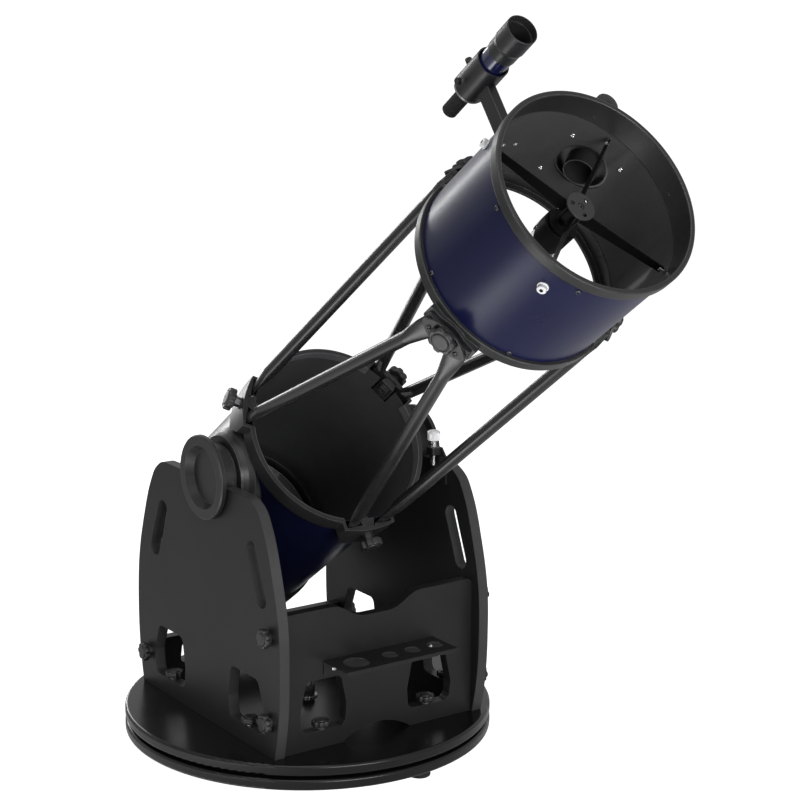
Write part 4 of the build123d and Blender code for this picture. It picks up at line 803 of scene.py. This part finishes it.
# ------------------------------------------------------------------ camera
AZIMUTH = math.radians(-34.836)     # from straight in front, to the object's left
ELEVATION = math.radians(12.4)
ROLL = math.radians(0.425)
DISTANCE = 3.9394
AIM_HEIGHT = 0.6803
AIM_SIDEWAYS = 0.1813
SENSOR_WIDTH = 36.0                 # mm, as the focal length
FOCAL_LENGTH = 90.5966
back = Vector((math.sin(AZIMUTH) * math.cos(ELEVATION), -math.cos(AZIMUTH) * math.cos(ELEVATION),
               math.sin(ELEVATION)))
right = (-back).cross(Vector((0, 0, 1))).normalized()
up = right.cross(-back)
aim = Vector((0, 0, AIM_HEIGHT)) + right * AIM_SIDEWAYS
rolled_right = right * math.cos(ROLL) + up * math.sin(ROLL)
rolled_up = up * math.cos(ROLL) - right * math.sin(ROLL)
camera_data = bpy.data.cameras.new("camera")
camera_data.sensor_width = SENSOR_WIDTH
camera_data.lens = FOCAL_LENGTH
camera_data.clip_end = 200.0
camera = bpy.data.objects.new("camera", camera_data)
pose = Matrix((rolled_right, rolled_up, back)).transposed().to_4x4()
pose.translation = aim + back * DISTANCE
camera.matrix_world = pose
bpy.context.scene.collection.objects.link(camera)
bpy.context.scene.camera = camera


# ------------------------------------------------------------------ floor, world and lights
FLOOR_RADIUS = 14.0
FLOOR_GLOW = 0.15           # light of the white floor on the object's matt surfaces
FLOOR_SHEEN = 0.20          # the same in its glossy surfaces
# Painted pool of light on the floor, seen only in glossy reflections.
POOL_SHEEN = 6.0            # a brighter pool on the floor, reflected along the tube
POOL_CENTRE = (-0.90, -0.28, 0.0)
POOL_RADIUS = 0.70
ROOM_GLOW = 0.07            # the room around, on matt surfaces and in glossy ones
ROOM_SHEEN = 0.62
BACKDROP = 1.1              # the room as the camera sees it
AIM_POINT = Vector((0, -0.1, 0.75))


def stage_floor():
    """A white floor that glows, with a painted pool of light seen only in reflections."""
    mesh = bmesh.new()
    bmesh.ops.create_circle(mesh, cap_ends=True, cap_tris=False, segments=96,
                            radius=FLOOR_RADIUS)
    data = bpy.data.meshes.new("floor")
    mesh.to_mesh(data)
    mesh.free()
    floor = bpy.data.objects.new("floor", data)
    bpy.context.scene.collection.objects.link(floor)
    mat, tree, shader = tree_of("studio_floor")
    shader.inputs["Base Color"].default_value = (0.93, 0.93, 0.93, 1)
    shader.inputs["Roughness"].default_value = 0.9
    shader.inputs["Specular IOR Level"].default_value = 0.0
    shader.inputs["Emission Color"].default_value = (1, 1, 1, 1)
    rays = node(tree, "ShaderNodeLightPath").outputs
    place = node(tree, "ShaderNodeNewGeometry").outputs["Position"]
    reach = node(tree, "ShaderNodeVectorMath", {0: place, 1: POOL_CENTRE}, operation="DISTANCE")
    fall = ramp(tree, reach.outputs["Value"], 0.0, POOL_RADIUS, 1.0, 0.0)
    pool = math_node(tree, "MULTIPLY", math_node(tree, "MULTIPLY", fall, fall), POOL_SHEEN)
    sheen = math_node(tree, "ADD", pool, FLOOR_SHEEN)
    glow = ramp(tree, rays["Is Glossy Ray"], 0.0, 1.0, FLOOR_GLOW, sheen)
    bright = math_node(tree, "MAXIMUM", glow, rays["Is Camera Ray"])
    tree.links.new(bright, shader.inputs["Emission Strength"])
    data.materials.append(mat)


def softbox(name, azimuth, elevation, size, power, distance=3.4):
    """An area lamp aimed at the object; azimuth 0 is in front of it, negative to its left."""
    turn, rise = math.radians(azimuth), math.radians(elevation)
    towards = Vector((math.sin(turn) * math.cos(rise), -math.cos(turn) * math.cos(rise),
                      math.sin(rise)))
    data = bpy.data.lights.new(name, "AREA")
    data.shape = "RECTANGLE"
    data.size, data.size_y = size
    data.energy = power
    lamp = bpy.data.objects.new(name, data)
    lamp.location = AIM_POINT + distance * towards
    lamp.rotation_euler = (AIM_POINT - lamp.location).to_track_quat("-Z", "Y").to_euler()
    bpy.context.scene.collection.objects.link(lamp)


stage_floor()
softbox("front_low", -6, 4, (2.0, 0.8), 66)
softbox("front_left_low", -68, 5, (0.9, 0.6), 7, distance=2.4)
softbox("front_top", -35, 55, (2.2, 2.2), 26)
softbox("top", 0, 88, (2.2, 2.2), 13)
softbox("back_rim", 176, 7, (0.5, 2.2), 25)

world = bpy.data.worlds.new("studio")
bpy.context.scene.world = world
world.use_nodes = True
sky = world.node_tree
background = sky.nodes["Background"]
background.inputs["Color"].default_value = (1, 1, 1, 1)
rays = node(sky, "ShaderNodeLightPath").outputs
glow = ramp(sky, rays["Is Glossy Ray"], 0.0, 1.0, ROOM_GLOW, ROOM_SHEEN)
seen = ramp(sky, rays["Is Camera Ray"], 0.0, 1.0, 0.0, BACKDROP)
sky.links.new(math_node(sky, "MAXIMUM", glow, seen), background.inputs["Strength"])

scene = bpy.context.scene
scene.view_settings.view_transform = "Standard"
scene.view_settings.look = "None"

# ------------------------------------------------------------------ update the scene
bpy.context.view_layer.update()
